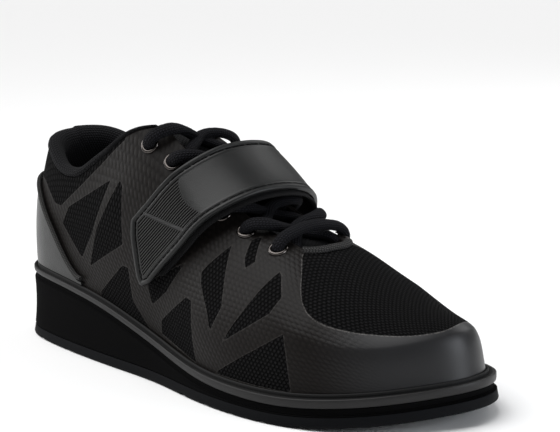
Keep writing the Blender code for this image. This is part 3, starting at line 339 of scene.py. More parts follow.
class Last:
    """The form that the upper is pulled over; all pieces take their places from it."""

    DENSE = 1200

    def __init__(self, size: Sizes) -> None:
        """Works out the sole's edge and the feather edge from the shoe's sizes."""
        self.size = size
        self.edge = closed_curve(np.array(SOLE_OUTLINE) * [size.length, size.ball], self.DENSE)
        self.feather = grown(self.edge, -size.ledge - size.gap)
        self.toe_share = int(np.argmax(self.feather[:, 0])) / self.DENSE
        self.knots = np.arange(self.DENSE + 1) / self.DENSE

    def around(self, loop: Array, t: Array) -> Array:
        """Points of a dense closed loop at shares of its length."""
        t = np.mod(np.asarray(t, float), 1.0)
        closed = np.vstack([loop, loop[:1]])
        return np.stack([np.interp(t, self.knots, closed[:, 0]), np.interp(t, self.knots, closed[:, 1])], -1)

    def share_at(self, x: Array, side: Side) -> Array:
        """The share of the feather loop at x on one side."""
        xs = np.append(self.feather[:, 0], self.feather[0, 0])
        keep = self.knots >= self.toe_share if side is Side.MEDIAL else self.knots <= self.toe_share
        order = np.argsort(xs[keep])
        return np.interp(x, xs[keep][order], self.knots[keep][order])

    def ground(self, x: Array) -> Array:
        """The height of the sole's underside."""
        s = self.size
        u = np.clip((np.asarray(x, float) / s.length - s.spring_start) / (1 - s.spring_start), 0, None)
        return s.spring * u ** 2

    def bed(self, x: Array) -> Array:
        """The height of the wedge's top, where the upper starts."""
        s = self.size
        left = natural_spline(WEDGE_LINE, 1, np.asarray(x) / s.length)
        return s.forefoot_stack + (s.heel_stack - s.forefoot_stack) * left + self.ground(x)

    def lip(self, x: Array) -> Array:
        """The height of the lip round the upper over the wedge's top."""
        return self.size.welt * plain_table(LIP_LINE, 1, np.asarray(x) / self.size.length)

    def section(self, column: int, x: Array) -> Array:
        """One column of the section table at x."""
        return natural_spline(SECTIONS, column, np.asarray(x) / self.size.length)

    def surface(self, t: Array, v: Array) -> Array:
        """The upper's outer form.

        Args:
            t: Shares round the feather edge.
            v: Shares up the section, from the sole (0) to the ridge (1).

        Returns:
            Points, with a last axis of 3.
        """
        s = self.size
        t, v = np.broadcast_arrays(np.asarray(t, float), np.asarray(v, float))
        foot = self.around(self.feather, t)
        x = np.clip(foot[..., 0], s.heel_centre * s.length, s.toe_focus * s.length)
        ridge = np.stack([x, self.section(2, x) * s.ball], -1)
        low = self.bed(foot[..., 0])
        bend = np.clip(v, 0, 1) * math.pi / 2
        inward = np.cos(bend) ** (2 / self.section(3, x))
        upward = np.sin(bend) ** (2 / self.section(4, x))
        reach = np.linalg.norm(foot - ridge, axis=-1)
        swell = self.section(5, x) * s.ball * np.sin(np.clip(1.6 * upward, 0, 1) * math.pi)
        along = (reach * inward + swell) / reach * (1 - self.section(6, x) * upward ** 2)
        plan = ridge + (foot - ridge) * along[..., None]
        top = self.bed(plan[..., 0]) + self.section(1, plan[..., 0]) * s.instep
        z = low + (top - low) * upward
        return np.concatenate([plan, z[..., None]], -1)

    def outward(self, t: Array, v: Array) -> Array:
        """Unit outward directions of the form."""
        v = np.clip(v, 0.004, 0.996)
        run = self.surface(np.asarray(t) + 0.002, v) - self.surface(np.asarray(t) - 0.002, v)
        rise = self.surface(t, v + 0.003) - self.surface(t, v - 0.003)
        return unit(np.cross(run, rise))

    def lifted(self, t: Array, v: Array, lift: Array) -> Array:
        """Points of the form moved outward."""
        t, v, lift = np.broadcast_arrays(np.asarray(t, float), np.asarray(v, float), np.asarray(lift, float))
        return self.surface(t, v) + self.outward(t, v) * lift[..., None]

    def throat_half(self, x: Array) -> Array:
        """Half the width of the throat, rounded off at its base."""
        s = self.size
        base = s.throat_base * s.length
        wide = plain_table(THROAT_EDGE, 1, np.asarray(x) / s.length)
        u = np.clip((x - (base - s.throat_corner)) / s.throat_corner, 0, 1)
        return np.where(x > base, 0.0, wide * (1 - u ** 3.2) ** (1 / 3.2))

    def rim_share(self, t: float, side: Side) -> float:
        """How far up its section a column of the upper runs."""
        s = self.size
        v = np.linspace(0, 1, 501)
        p = self.surface(t, v)
        x, y, z = p[:, 0], p[:, 1], p[:, 2]
        if x[-1] >= s.throat_base * s.length:
            return 1.0
        over = z - natural_spline(COLLAR_RIM, 2 if side is Side.MEDIAL else 1, x / s.length) * s.instep
        away = np.abs(y - s.throat_axis)
        inside = self.throat_half(x) - away if x[-1] > 0.30 * s.length else np.full(len(v), -1.0)
        high = float(np.interp(0, over, v)) if over.max() > 0 else 1.0
        wide = float(np.interp(0, inside, v)) if inside.max() > 0 else 1.0
        k = s.rim_softness
        return -k * math.log(math.exp(-min(high, 1.2) / k) + math.exp(-wide / k)) if wide < 1 else high

    def share_of_height(self, t: float, height: float) -> float:
        """The share v at which a column reaches a height."""
        v = np.linspace(0, 1, 401)
        return float(np.interp(height, self.surface(t, v)[:, 2], v))

    def share_below_rim(self, x: float, distance: float, side: Side) -> tuple:
        """Shares (t, v) of the point at x that lies a distance below the throat's edge."""
        t = float(self.share_at(x, side))
        v = np.linspace(0, self.rim_share(t, side), 400)
        run = run_length(self.surface(t, v))
        return t, float(np.interp(run[-1] - distance, run, v))

    def share_over(self, x: float, y: float) -> tuple:
        """Shares (t, v) of the form's point over (x, y) near the ridge."""
        side = Side.MEDIAL if y > float(self.section(2, x)) * self.size.ball else Side.LATERAL
        t = float(self.share_at(x, side))
        v = np.linspace(0.02, 1, 600)
        ys = self.surface(t, v)[:, 1] * -side.value
        return t, float(np.interp(-y * side.value, ys, v))

    def eyelet(self, row: int, side: Side) -> tuple:
        """The centre of an eyelet, and its outward, forward and side directions."""
        along, lateral_drop, medial_drop = EYELETS[row]
        drop = medial_drop if side is Side.MEDIAL else lateral_drop
        t, v = self.share_below_rim(along * self.size.length, drop, side)
        n = self.outward(t, v)
        ahead = unit(np.array([1.0, 0.0, 0.0]) - n * n[0])
        return self.surface(t, v), n, ahead, np.cross(n, ahead)

    def weave_places(self, t: Array, points: Array) -> Array:
        """Flat places for a cloth's pattern: along the shoe, and round its long axis, in millimetres."""
        s = self.size
        x, y, z = points[..., 0], points[..., 1], points[..., 2]
        centre = s.heel_centre * s.length
        perimeter = float(np.linalg.norm(np.roll(self.feather, -1, 0) - self.feather, axis=1).sum())
        edge = float(self.share_at(centre, Side.LATERAL)), float(self.share_at(centre, Side.MEDIAL))
        turned = np.where(t < 0.5, t, 1 - t)
        limit = np.where(t < 0.5, edge[0], 1 - edge[1])
        behind = np.clip(limit - turned, 0, None) * perimeter
        along = np.where(turned < limit, centre - behind, x)
        height = z - self.bed(x) + 0.005
        about = 0.045 * np.arctan2(y - self.section(2, x) * s.ball, height)
        return np.stack([along, about], -1) * 1000


LAST = Last(SIZE)


class Columns:
    """Dense columns round the last, in pairs across it: outer side, toe, inner side, heel."""

    def __init__(self, per_side: int, fan: int) -> None:
        """Lays the columns out.

        Args:
            per_side: Columns on each straight side.
            fan: Columns round the toe, and round the heel; an odd number.
        """
        s = SIZE
        base, heel, toe = s.throat_base * s.length, s.heel_centre * s.length, s.toe_focus * s.length
        near = base - np.array([0.0040, 0.0022, 0.0010, 0.0004, 0.0001, 0.0])
        plain = np.linspace(heel, toe, per_side - len(near))
        self.x = np.unique(np.concatenate([plain[np.abs(plain - base) > 0.0002], near, [toe]]))
        lateral, medial = LAST.share_at(self.x, Side.LATERAL), LAST.share_at(self.x, Side.MEDIAL)
        front = np.linspace(lateral[-1], medial[-1], fan + 2)[1:-1]
        back = np.linspace(medial[0], lateral[0] + 1, fan + 2)[1:-1]
        self.t = np.concatenate([lateral, front, medial[::-1], back % 1.0])
        self.medial = np.concatenate([
            np.zeros(len(lateral), bool), front > LAST.toe_share, np.ones(len(medial), bool), back < 1.0,
        ])
        self.count = len(self.t)
        self.front = len(self.x) + fan // 2

    def strips(self, base: int, upward: bool) -> list:
        """Faces from side to side across a ring of columns that starts at the vertex base."""
        n, front = self.count, self.front
        faces = []
        for i in range(n // 2 - 1):
            a, b, c, d = (front - i) % n, (front - i - 1) % n, (front + i + 1) % n, (front + i) % n
            faces.append([a, b, c, d] if i else [a, b, c])
        faces.append([(front - n // 2 + 1) % n, (front + n // 2) % n, (front + n // 2 - 1) % n])
        return [tuple(base + k for k in (f[::-1] if upward else f)) for f in faces]


class Value:
    """A shader socket that takes part in Python arithmetic."""

    def __init__(self, graph: "Graph", socket: bpy.types.NodeSocket) -> None:
        """Wraps a socket of a graph."""
        self.graph, self.socket = graph, socket

    def __add__(self, other: Number) -> "Value":
        """Sum."""
        return self.graph.maths("ADD", self, other)

    def __radd__(self, other: Number) -> "Value":
        """Reflected sum."""
        return self.graph.maths("ADD", other, self)

    def __sub__(self, other: Number) -> "Value":
        """Difference."""
        return self.graph.maths("SUBTRACT", self, other)

    def __rsub__(self, other: Number) -> "Value":
        """Reflected difference."""
        return self.graph.maths("SUBTRACT", other, self)

    def __mul__(self, other: Number) -> "Value":
        """Product."""
        return self.graph.maths("MULTIPLY", self, other)

    def __rmul__(self, other: Number) -> "Value":
        """Reflected product."""
        return self.graph.maths("MULTIPLY", other, self)

    def __truediv__(self, other: Number) -> "Value":
        """Quotient."""
        return self.graph.maths("DIVIDE", self, other)

    def __rtruediv__(self, other: Number) -> "Value":
        """Reflected quotient."""
        return self.graph.maths("DIVIDE", other, self)

    def __pow__(self, other: Number) -> "Value":
        """Power."""
        return self.graph.maths("POWER", self, other)

    def __abs__(self) -> "Value":
        """Size without sign."""
        return self.graph.maths("ABSOLUTE", self)


class Graph:
    """One procedural material."""

    def __init__(self, name: str) -> None:
        """Starts an empty material of a name."""
        self.material = bpy.data.materials.new(name)
        self.material.use_nodes = True
        self.tree = self.material.node_tree
        self.tree.nodes.clear()

    def node(self, kind: str, settings: Optional[dict] = None, inputs: Optional[dict] = None) -> bpy.types.Node:
        """Adds a node.

        Args:
            kind: The node's type.
            settings: Attributes to set first.
            inputs: Values or links for its sockets, by name or number.

        Returns:
            The node.
        """
        made = self.tree.nodes.new(kind)
        for key, value in (settings or {}).items():
            setattr(made, key, value)
        for key, value in (inputs or {}).items():
            socket = made.inputs[key]
            if isinstance(value, Value):
                self.tree.links.new(value.socket, socket)
            elif value is not None:
                socket.default_value = value
        return made

    def maths(self, operation: str, *values: Number) -> Value:
        """A Math node on up to three values."""
        made = self.node("ShaderNodeMath", {"operation": operation}, dict(enumerate(values)))
        return Value(self, made.outputs[0])

    def step(self, value: Number, start: float, end: float) -> Value:
        """A soft step from 0 at start to 1 at end."""
        made = self.node(
            "ShaderNodeMapRange", {"interpolation_type": "SMOOTHSTEP", "clamp": True},
            {"Value": value, "From Min": min(start, end), "From Max": max(start, end),
             "To Min": 0.0 if start < end else 1.0, "To Max": 1.0 if start < end else 0.0},
        )
        return Value(self, made.outputs[0])

    def mix(self, share: Number, first: Union[Value, tuple], second: Union[Value, tuple]) -> Value:
        """A blend of two colours."""
        colours = [c if isinstance(c, Value) else (*c, 1.0) for c in (first, second)]
        made = self.node("ShaderNodeMix", {"data_type": "RGBA"}, {0: share, 6: colours[0], 7: colours[1]})
        return Value(self, made.outputs[2])

    def field(self, name: str) -> Value:
        """A number stored on the mesh's points."""
        made = self.node("ShaderNodeAttribute", {"attribute_name": name})
        return Value(self, made.outputs["Fac"])

    def flat(self) -> tuple:
        """The two places of the mesh's flat layout, in millimetres."""
        made = self.node("ShaderNodeUVMap", {"uv_map": "flat"})
        split = self.node("ShaderNodeSeparateXYZ", None, {0: Value(self, made.outputs[0])})
        return Value(self, split.outputs[0]), Value(self, split.outputs[1])

    def space(self) -> Value:
        """The place on the object, in metres."""
        return Value(self, self.node("ShaderNodeTexCoord").outputs["Object"])

    def noise(self, scale: float, detail: float = 3.0) -> Value:
        """Cloudy noise round 0.5 in the object's space, its scale in waves a metre."""
        made = self.node("ShaderNodeTexNoise", None, {
            "Vector": self.space(), "Scale": scale, "Detail": detail, "Roughness": 0.55})
        return Value(self, made.outputs["Fac"])

    def grain(self, scale: float) -> Value:
        """The distance inside pebbled cells, for leather."""
        made = self.node("ShaderNodeTexVoronoi", {"feature": "DISTANCE_TO_EDGE"},
                         {"Vector": self.space(), "Scale": scale})
        return Value(self, made.outputs["Distance"])

    def fraction(self, value: Number) -> Value:
        """What is left over a whole number."""
        return self.maths("FRACT", value)

    def radius(self, a: Value, b: Value) -> Value:
        """The distance of a place from the point where both of its numbers are 0."""
        return self.maths("SQRT", a ** 2.0 + b ** 2.0)

    def bricks(self, u: Value, v: Value, wide: float, high: float) -> tuple:
        """Offset rows of cells.

        Args:
            u: The place along a row, in millimetres.
            v: The place across the rows.
            wide: A cell's width.
            high: A row's height.

        Returns:
            The place inside each cell, -0.5 to 0.5, along and across.
        """
        row = self.maths("FLOOR", v / high)
        shift = self.fraction(row * 0.5)
        return self.fraction(u / wide + shift) - 0.5, self.fraction(v / high) - 0.5

    def bump(self, height: Number, depth: float, strength: float = 1.0, base: Optional[Value] = None) -> Value:
        """A relief on the normal.

        Args:
            height: The relief, 0 to 1.
            depth: What 1 is, in metres.
            strength: How much of it shows.
            base: The relief below it.

        Returns:
            The normal.
        """
        made = self.node("ShaderNodeBump", None, {
            "Strength": strength, "Distance": depth, "Height": height, "Normal": base})
        return Value(self, made.outputs[0])

    def shader(self, colour: Union[Value, tuple], roughness: Number, normal: Optional[Value] = None,
               metallic: Number = 0.0, **fixed: float) -> Value:
        """One Principled shader.

        Args:
            colour: The base colour.
            roughness: How dull it is.
            normal: The relief.
            metallic: How much of a metal it is.
            **fixed: Numbers for its other sockets, with spaces as underscores.

        Returns:
            The shader.
        """
        inputs = {
            "Base Color": colour if isinstance(colour, Value) else (*colour, 1.0),
            "Roughness": roughness, "Normal": normal, "Metallic": metallic,
        }
        inputs.update({key.replace("_", " "): value for key, value in fixed.items()})
        return Value(self, self.node("ShaderNodeBsdfPrincipled", None, inputs).outputs[0])

    def blend(self, share: Number, first: Value, second: Value) -> Value:
        """A blend of two shaders."""
        return Value(self, self.node("ShaderNodeMixShader", None, {0: share, 1: first, 2: second}).outputs[0])

    def close(self, shader: Value) -> bpy.types.Material:
        """Ends the material with a shader."""
        self.node("ShaderNodeOutputMaterial", None, {"Surface": shader})
        return self.material

    def finish(self, colour: Union[Value, tuple], roughness: Number, normal: Optional[Value] = None,
               metallic: Number = 0.0, **fixed: float) -> bpy.types.Material:
        """Ends the material with one Principled shader; the arguments are those of shader."""
        return self.close(self.shader(colour, roughness, normal, metallic, **fixed))


@dataclass(frozen=True)
class FilmMesh:
    """The knitted mesh of the upper under its bonded film."""

    film: tuple = (0.0122, 0.0103, 0.0094)
    film_dark: tuple = (0.0058, 0.0050, 0.0047)
    cap: tuple = (0.0125, 0.0127, 0.0138)
    trim: tuple = (0.085, 0.080, 0.076)
    mesh: tuple = (0.0016, 0.0016, 0.0017)
    mesh_thread: tuple = (0.0115, 0.0112, 0.0116)
    mesh_hole: tuple = (0.0008, 0.0008, 0.0008)
    cell: tuple = (2.2, 1.35)
    scale: tuple = (3.0, 1.7)

    def build(self) -> bpy.types.Material:
        """The material, from the upper's window and cap fields."""
        g = Graph("film_over_mesh")
        u, v = g.flat()
        window = g.field("window")
        cap = g.field("cap")
        open_mesh = g.step(window + (g.noise(900, 1.0) - 0.5) * 0.5, -0.12, 0.12)
        a, b = g.bricks(u, v, *self.cell)
        dome = g.step(g.radius(a * 1.1, b), 0.52, 0.20)
        hole = g.step(g.radius((abs(a) - 0.5) * math.sqrt(1.2), b * 0.9), 0.24, 0.10)
        c, d = g.bricks(u + v * 0.50, v, *self.scale)
        scale = g.step(g.radius(c * math.sqrt(0.9), d + c * 0.3), 0.56, 0.12)
        cloud = g.noise(38)
        thread = g.mix(dome * (0.50 + cloud * 0.6), self.mesh, self.mesh_thread)
        thread = g.mix(hole * 0.8, thread, self.mesh_hole)
        film = g.mix(scale * 0.55 + cloud * 0.30, self.film_dark, self.film)
        film = g.mix(cap * 0.9, film, self.cap)
        colour = g.mix(open_mesh, film, thread)
        lip = g.step(abs(window + 0.30), 0.34, 0.12)
        dash = g.step(g.noise(1100, 1.0), 0.44, 0.54)
        colour = g.mix(lip * g.field("trim") * (0.12 + dash * 0.62), colour, self.trim)
        relief = g.bump(scale * (1.0 - cap), 0.00020, 0.60)
        relief = g.bump(g.noise(1500, 2.0), 0.00005, 0.35, relief)
        mesh_relief = g.bump(dome - hole * 0.5, 0.00070)
        normal = g.node("ShaderNodeMix", {"data_type": "VECTOR"}, {0: open_mesh, 4: relief, 5: mesh_relief})
        edge = g.bump(g.step(window, 0.22, -0.22), 0.00034, 0.9, Value(g, normal.outputs[1]))
        rough = 0.44 + open_mesh * 0.36 - cap * 0.08 + (cloud - 0.5) * 0.14
        cloth = g.shader(colour, 0.85, edge, Specular_IOR_Level=0.05)
        foil = g.shader(colour, rough, edge, Specular_IOR_Level=0.10)
        toe = g.shader(colour, 0.40 + (cloud - 0.5) * 0.14, edge, Specular_IOR_Level=0.30)
        return g.close(g.blend(open_mesh, g.blend(cap, foil, toe), cloth))


@dataclass(frozen=True)
class Knit:
    """A ribbed knit, for collar, lining and tongue."""

    name: str
    colour: tuple
    thread: tuple
    pitch: float = 1.3
    depth: float = 0.00045
    sheen: float = 0.02

    def build(self) -> bpy.types.Material:
        """The material, with its ribs along the flat layout's first place."""
        g = Graph(self.name)
        u, v = g.flat()
        a, b = g.bricks(u, v, self.pitch * 1.5, self.pitch)
        dome = g.step(g.radius(a, b), 0.55, 0.15)
        cloud = g.noise(60)
        colour = g.mix(dome * (0.4 + cloud * 0.6), self.colour, self.thread)
        relief = g.bump(dome, self.depth, 0.9)
        relief = g.bump(g.noise(2600, 2.0), 0.0001, 0.4, relief)
        return g.finish(colour, 0.86, relief, Specular_IOR_Level=0.10, Sheen_Weight=self.sheen,
                        Sheen_Roughness=0.6)


@dataclass(frozen=True)
class Hide:
    """A coated synthetic leather."""

    name: str
    colour: tuple
    light: tuple
    roughness: float = 0.36
    grain: float = 1100.0
    depth: float = 0.00009

    def build(self) -> bpy.types.Material:
        """The material, with a fine pebbled grain."""
        g = Graph(self.name)
        pebble = g.step(g.grain(self.grain), 0.0, 0.22)
        cloud = g.noise(45, 4.0)
        colour = g.mix(cloud, self.colour, self.light)
        relief = g.bump(pebble, self.depth, 0.45)
        relief = g.bump(g.noise(160), 0.0006, 0.20, relief)
        return g.finish(colour, self.roughness + (cloud - 0.5) * 0.18, relief, Specular_IOR_Level=0.30)


@dataclass(frozen=True)
class Rubber:
    """A moulded rubber or foam."""

    name: str
    colour: tuple
    light: tuple
    roughness: float = 0.6
    grain: float = 1800.0
    depth: float = 0.00008
    specular: float = 0.20

    def build(self) -> bpy.types.Material:
        """The material, with a fine moulded grain and faint dust."""
        g = Graph(self.name)
        cloud = g.noise(30, 4.0)
        colour = g.mix(cloud, self.colour, self.light)
        relief = g.bump(g.noise(self.grain, 2.0), self.depth, 0.6)
        rough = self.roughness + (cloud - 0.5) * 0.16
        return g.finish(colour, rough, relief, Specular_IOR_Level=self.specular)


@dataclass(frozen=True)
class LipRubber:
    """The lip's rubber: greyer outside, black on its bead, and painted black in its groove as shade."""

    colour: tuple = (0.0105, 0.0102, 0.0102)
    light: tuple = (0.0180, 0.0174, 0.0174)
    # black of the bead, also painted into the groove as shade
    bead: tuple = (0.0030, 0.0030, 0.0030)

    def build(self) -> bpy.types.Material:
        """The material, from the lip's field over its bead and groove; the black in the groove is painted
        shade.
        """
        g = Graph("lip_rubber")
        bead = g.step(g.field("bead"), 0.3, 0.7)
        cloud = g.noise(40, 4.0)
        # black over the bead and, as painted shade, over the groove
        colour = g.mix(bead, g.mix(cloud, self.colour, self.light), self.bead)
        relief = g.bump(g.noise(1600, 2.0), 0.00006, 0.5)
        return g.finish(colour, 0.46 + bead * 0.2 + (cloud - 0.5) * 0.12, relief, Specular_IOR_Level=0.25)


@dataclass(frozen=True)
class StrapHide:
    """The strap's synthetic leather, with two ribbed blocks near its tip and a stitched groove.

    Places run along the strap from its tip and across it from its back edge, in millimetres.
    """

    width: float
    tint: tuple = (0.0088, 0.0091, 0.0091)
    tint_light: tuple = (0.0140, 0.0144, 0.0142)
    # painted highlight on the rib crests and painted shade in the rib hollows
    rib_crest_painted_highlight: tuple = (0.0330, 0.0325, 0.0315)
    rib_hollow_painted_shade: tuple = (0.0010, 0.0010, 0.0010)
    rib_pitch: float = 1.58
    bar_colour: tuple = (0.0350, 0.0350, 0.0350)
    bar_start: tuple = (29.7, 5.4)
    bar_slope: float = 0.302
    arc_centre: tuple = (79.5, 24.0)
    arc_edge: tuple = (32.3, 33.0)
    # painted shade for the sunk stitch groove
    groove_painted_shade: tuple = (0.0012, 0.0012, 0.0012)
    stitch: float = 3.3

    def build(self) -> bpy.types.Material:
        """The material, from the strap's edge field and flat layout."""
        g = Graph("strap_hide")
        along, across = g.flat()
        edge = g.field("edge")
        field = g.step(edge, 5.0, 5.3)
        off_bar = abs(along - (self.bar_start[0] + (across - self.bar_start[1]) * self.bar_slope))
        bar = g.step(off_bar, 0.9, 0.5)
        arc = g.radius(along - self.arc_centre[0], across - self.arc_centre[1])
        ribbed = field * g.step(arc, *self.arc_edge) * g.step(along, 60.0, 58.0) * g.step(off_bar, 0.8, 1.2)
        rib = g.step(g.maths("SINE", across * (2 * math.pi / self.rib_pitch)), -0.30, 0.50)
        cloud = g.noise(45, 4.0)
        colour = g.mix(cloud, self.tint, self.tint_light)
        # rib crests painted lighter as highlight, rib hollows painted darker as shade
        colour = g.mix(ribbed * rib * 0.7, colour, self.rib_crest_painted_highlight)
        colour = g.mix(ribbed * (1.0 - rib), colour, self.rib_hollow_painted_shade)
        side = g.maths("MINIMUM", across, self.width * 1000 - across)
        long_dash, tip_dash = (
            g.step(abs(g.fraction(place / self.stitch) - 0.5), 0.40, 0.34) for place in (along, across))
        at_side = g.step(side, 4.8, 4.4)
        dash = long_dash * at_side + tip_dash * (1.0 - at_side)
        # painted shade in the sunk stitch groove, darkest in dashes along the stitches
        groove = g.step(edge, 2.7, 2.9) * g.step(edge, 3.9, 3.7) * (0.25 + dash * 0.75)
        colour = g.mix(groove * 0.92, colour, self.groove_painted_shade)
        colour = g.mix(bar * field * 0.6, colour, self.bar_colour)
        relief = g.bump(ribbed * rib + (1.0 - ribbed), 0.0010)
        relief = g.bump(bar * field, 0.0008, 1.0, relief)
        relief = g.bump(g.step(g.grain(1300), 0.0, 0.22), 0.00006, 0.35, relief)
        relief = g.bump(g.noise(120), 0.0006, 0.18, relief)
        shine = g.shader(colour, 0.38 + (cloud - 0.5) * 0.16, relief, Specular_IOR_Level=0.24)
        dull = g.shader(colour, 0.80, relief, Specular_IOR_Level=0.03)
        return g.close(g.blend(g.maths("MAXIMUM", groove * 0.9, ribbed * (1.0 - rib) * 0.9), shine, dull))


@dataclass(frozen=True)
class Rope:
    """The braid of the laces and cords."""

    name: str
    colour: tuple
    thread: tuple
    pitch: float = 1.25

    def build(self) -> bpy.types.Material:
        """The material, with its braid on the flat layout."""
        g = Graph(self.name)
        u, v = g.flat()
        a, b = g.bricks(u + abs(g.fraction(v / 4.4) - 0.5) * 2.4, v, self.pitch, 1.1)
        dome = g.step(g.radius(a, b), 0.52, 0.14)
        colour = g.mix(dome, self.colour, self.thread)
        relief = g.bump(dome, 0.0007, 1.0)
        relief = g.bump(g.noise(3000, 2.0), 0.0001, 0.5, relief)
        return g.finish(colour, 0.82, relief, Specular_IOR_Level=0.12)


@dataclass(frozen=True)
class Metal:
    """The dark coated metal of eyelets and ring."""

    colour: tuple = (0.045, 0.039, 0.036)
    light: tuple = (0.075, 0.066, 0.061)

    def build(self) -> bpy.types.Material:
        """The material, with faint rubbed patches."""
        g = Graph("dark_metal")
        cloud = g.noise(300)
        colour = g.mix(cloud, self.colour, self.light)
        return g.finish(colour, 0.20 + (cloud - 0.5) * 0.10, g.bump(cloud, 0.00005, 0.3), metallic=1.0,
                        Coat_Weight=0.35, Coat_Roughness=0.12)


def grid_faces(rows: int, cols: int, round_rows: bool = False, round_cols: bool = False,
               base: int = 0) -> list:
    """Faces of a grid of vertices.

    Args:
        rows: Rows of vertices.
        cols: Vertices in a row.
        round_rows: True where the last row joins the first.
        round_cols: True where each row closes on itself.
        base: The first vertex.

    Returns:
        The faces.
    """
    j = np.arange(rows if round_rows else rows - 1)
    i = np.arange(cols if round_cols else cols - 1)
    jj, ii = np.meshgrid(j, i, indexing="ij")
    a = jj * cols + ii
    b = jj * cols + (ii + 1) % cols
    c = ((jj + 1) % rows) * cols + (ii + 1) % cols
    d = ((jj + 1) % rows) * cols + ii
    return [tuple(f) for f in (np.stack([a, b, c, d], -1).reshape(-1, 4) + base).tolist()]


def plate_faces(rows: int, cols: int) -> list:
    """Faces of a closed plate: an outer grid, an inner grid numbered after it, and the rim between."""
    count = rows * cols
    faces = [f[::-1] for f in grid_faces(rows, cols)] + grid_faces(rows, cols, base=count)
    border = list(range(cols)) + [j * cols + cols - 1 for j in range(1, rows)]
    border += [(rows - 1) * cols + i for i in range(cols - 2, -1, -1)]
    border += [j * cols for j in range(rows - 2, 0, -1)]
    return faces + [(a, b, count + b, count + a) for a, b in zip(border, border[1:] + border[:1])]


def tube_faces(rings: int, sides: int, closed: bool = False) -> list:
    """Faces of a tube of rings, with flat ends where it isn't closed on itself."""
    faces = grid_faces(rings, sides, closed, True)
    if not closed:
        faces += [tuple(range(sides))[::-1], tuple(range((rings - 1) * sides, rings * sides))]
    return faces


class Piece:
    """Gathers the points, faces and fields of one piece and makes its object."""

    WELD = 0.00002

    def __init__(self, name: str) -> None:
        """Starts an empty piece of a name."""
        self.name = name
        self.points: list = []
        self.faces: list = []
        self.flat: list = []
        self.fields: dict = {}
        self.count = 0

    def add(self, points: Array, faces: list, flat: Optional[Array] = None, **fields: Array) -> int:
        """Adds vertices and faces.

        Args:
            points: Vertices, with a last axis of 3.
            faces: Faces that count from these vertices.
            flat: Places of the flat layout, in millimetres.
            **fields: Numbers for each vertex.

        Returns:
            The number of the first vertex added.
        """
        p = np.asarray(points, float).reshape(-1, 3)
        base = self.count
        self.points.append(p)
        self.faces += [tuple(base + k for k in f) for f in faces]
        self.flat.append(np.zeros((len(p), 2)) if flat is None else np.asarray(flat, float).reshape(-1, 2))
        for key, values in fields.items():
            self.fields.setdefault(key, []).append(np.asarray(values, float).ravel())
        self.count += len(p)
        return base

    def tube(self, path: Array, radius: Union[float, Array], sides: int = 10, closed: bool = False,
             ups: Optional[Array] = None, flatten: float = 1.0) -> None:
        """Adds a round or oval tube along a path.

        Args:
            path: The centreline.
            radius: Half the width, one number or one for each point.
            sides: Sides round it.
            closed: True where the path joins its own start.
            ups: A direction for each point that the height runs along.
            flatten: The height as a share of the width.
        """
        path = np.asarray(path, float)
        n = len(path)
        ahead = np.roll(path, -1, 0) - np.roll(path, 1, 0) if closed else np.gradient(path, axis=0)
        ahead = unit(ahead)
        ups = np.tile([0.0, 0.0, 1.0], (n, 1)) if ups is None else np.broadcast_to(ups, (n, 3))
        across = unit(np.cross(ups, ahead))
        lift = np.cross(ahead, across)
        r = np.broadcast_to(radius, n)
        turn = 2 * math.pi * (np.arange(sides) + 0.5) / sides
        ring = np.cos(turn)[None, :, None] * across[:, None]
        ring = ring + np.sin(turn)[None, :, None] * lift[:, None] * flatten
        points = path[:, None] + ring * r[:, None, None]
        run = run_length(path) * 1000
        flat = np.stack(np.broadcast_arrays(run[:, None], turn[None] * float(np.mean(r)) * 1000), -1)
        self.add(points, tube_faces(n, sides, closed), flat)

    def make(self, materials: Sequence[bpy.types.Material], nodes: Sequence[str], slot: str,
             sharp: float = 40.0) -> bpy.types.Object:
        """Makes the object and ties it to the frame.

        Args:
            materials: Its materials.
            nodes: The solids that it stands for.
            slot: A material slot's name; not used.
            sharp: Edges over this angle in degrees stay sharp.

        Returns:
            The object.
        """
        points = np.concatenate(self.points) - np.array(SIZE.origin)
        mesh = bpy.data.meshes.new(self.name)
        mesh.from_pydata(points.tolist(), [], self.faces)
        layer = mesh.uv_layers.new(name="flat")
        loops = np.zeros(len(mesh.loops), np.int32)
        mesh.loops.foreach_get("vertex_index", loops)
        layer.data.foreach_set("uv", np.concatenate(self.flat)[loops].astype(np.float32).ravel())
        for key, values in self.fields.items():
            stored = mesh.attributes.new(key, "FLOAT", "POINT")
            stored.data.foreach_set("value", np.concatenate(values).astype(np.float32))
        made = bpy.data.objects.new(self.name, mesh)
        bpy.context.scene.collection.objects.link(made)
        made.modifiers.new("weld", "WELD").merge_threshold = self.WELD
        bpy.context.view_layer.update()
        joined = bpy.data.meshes.new_from_object(made.evaluated_get(bpy.context.evaluated_depsgraph_get()))
        made.modifiers.clear()
        made.data = joined
        joined.polygons.foreach_set("use_smooth", [True] * len(joined.polygons))
        joined.set_sharp_from_angle(angle=math.radians(sharp))
        for material in materials:
            joined.materials.append(material)
        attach(made, "root")
        if nodes:
            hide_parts(*nodes)
        log.info("%s: %d faces", self.name, len(joined.polygons))
        return made


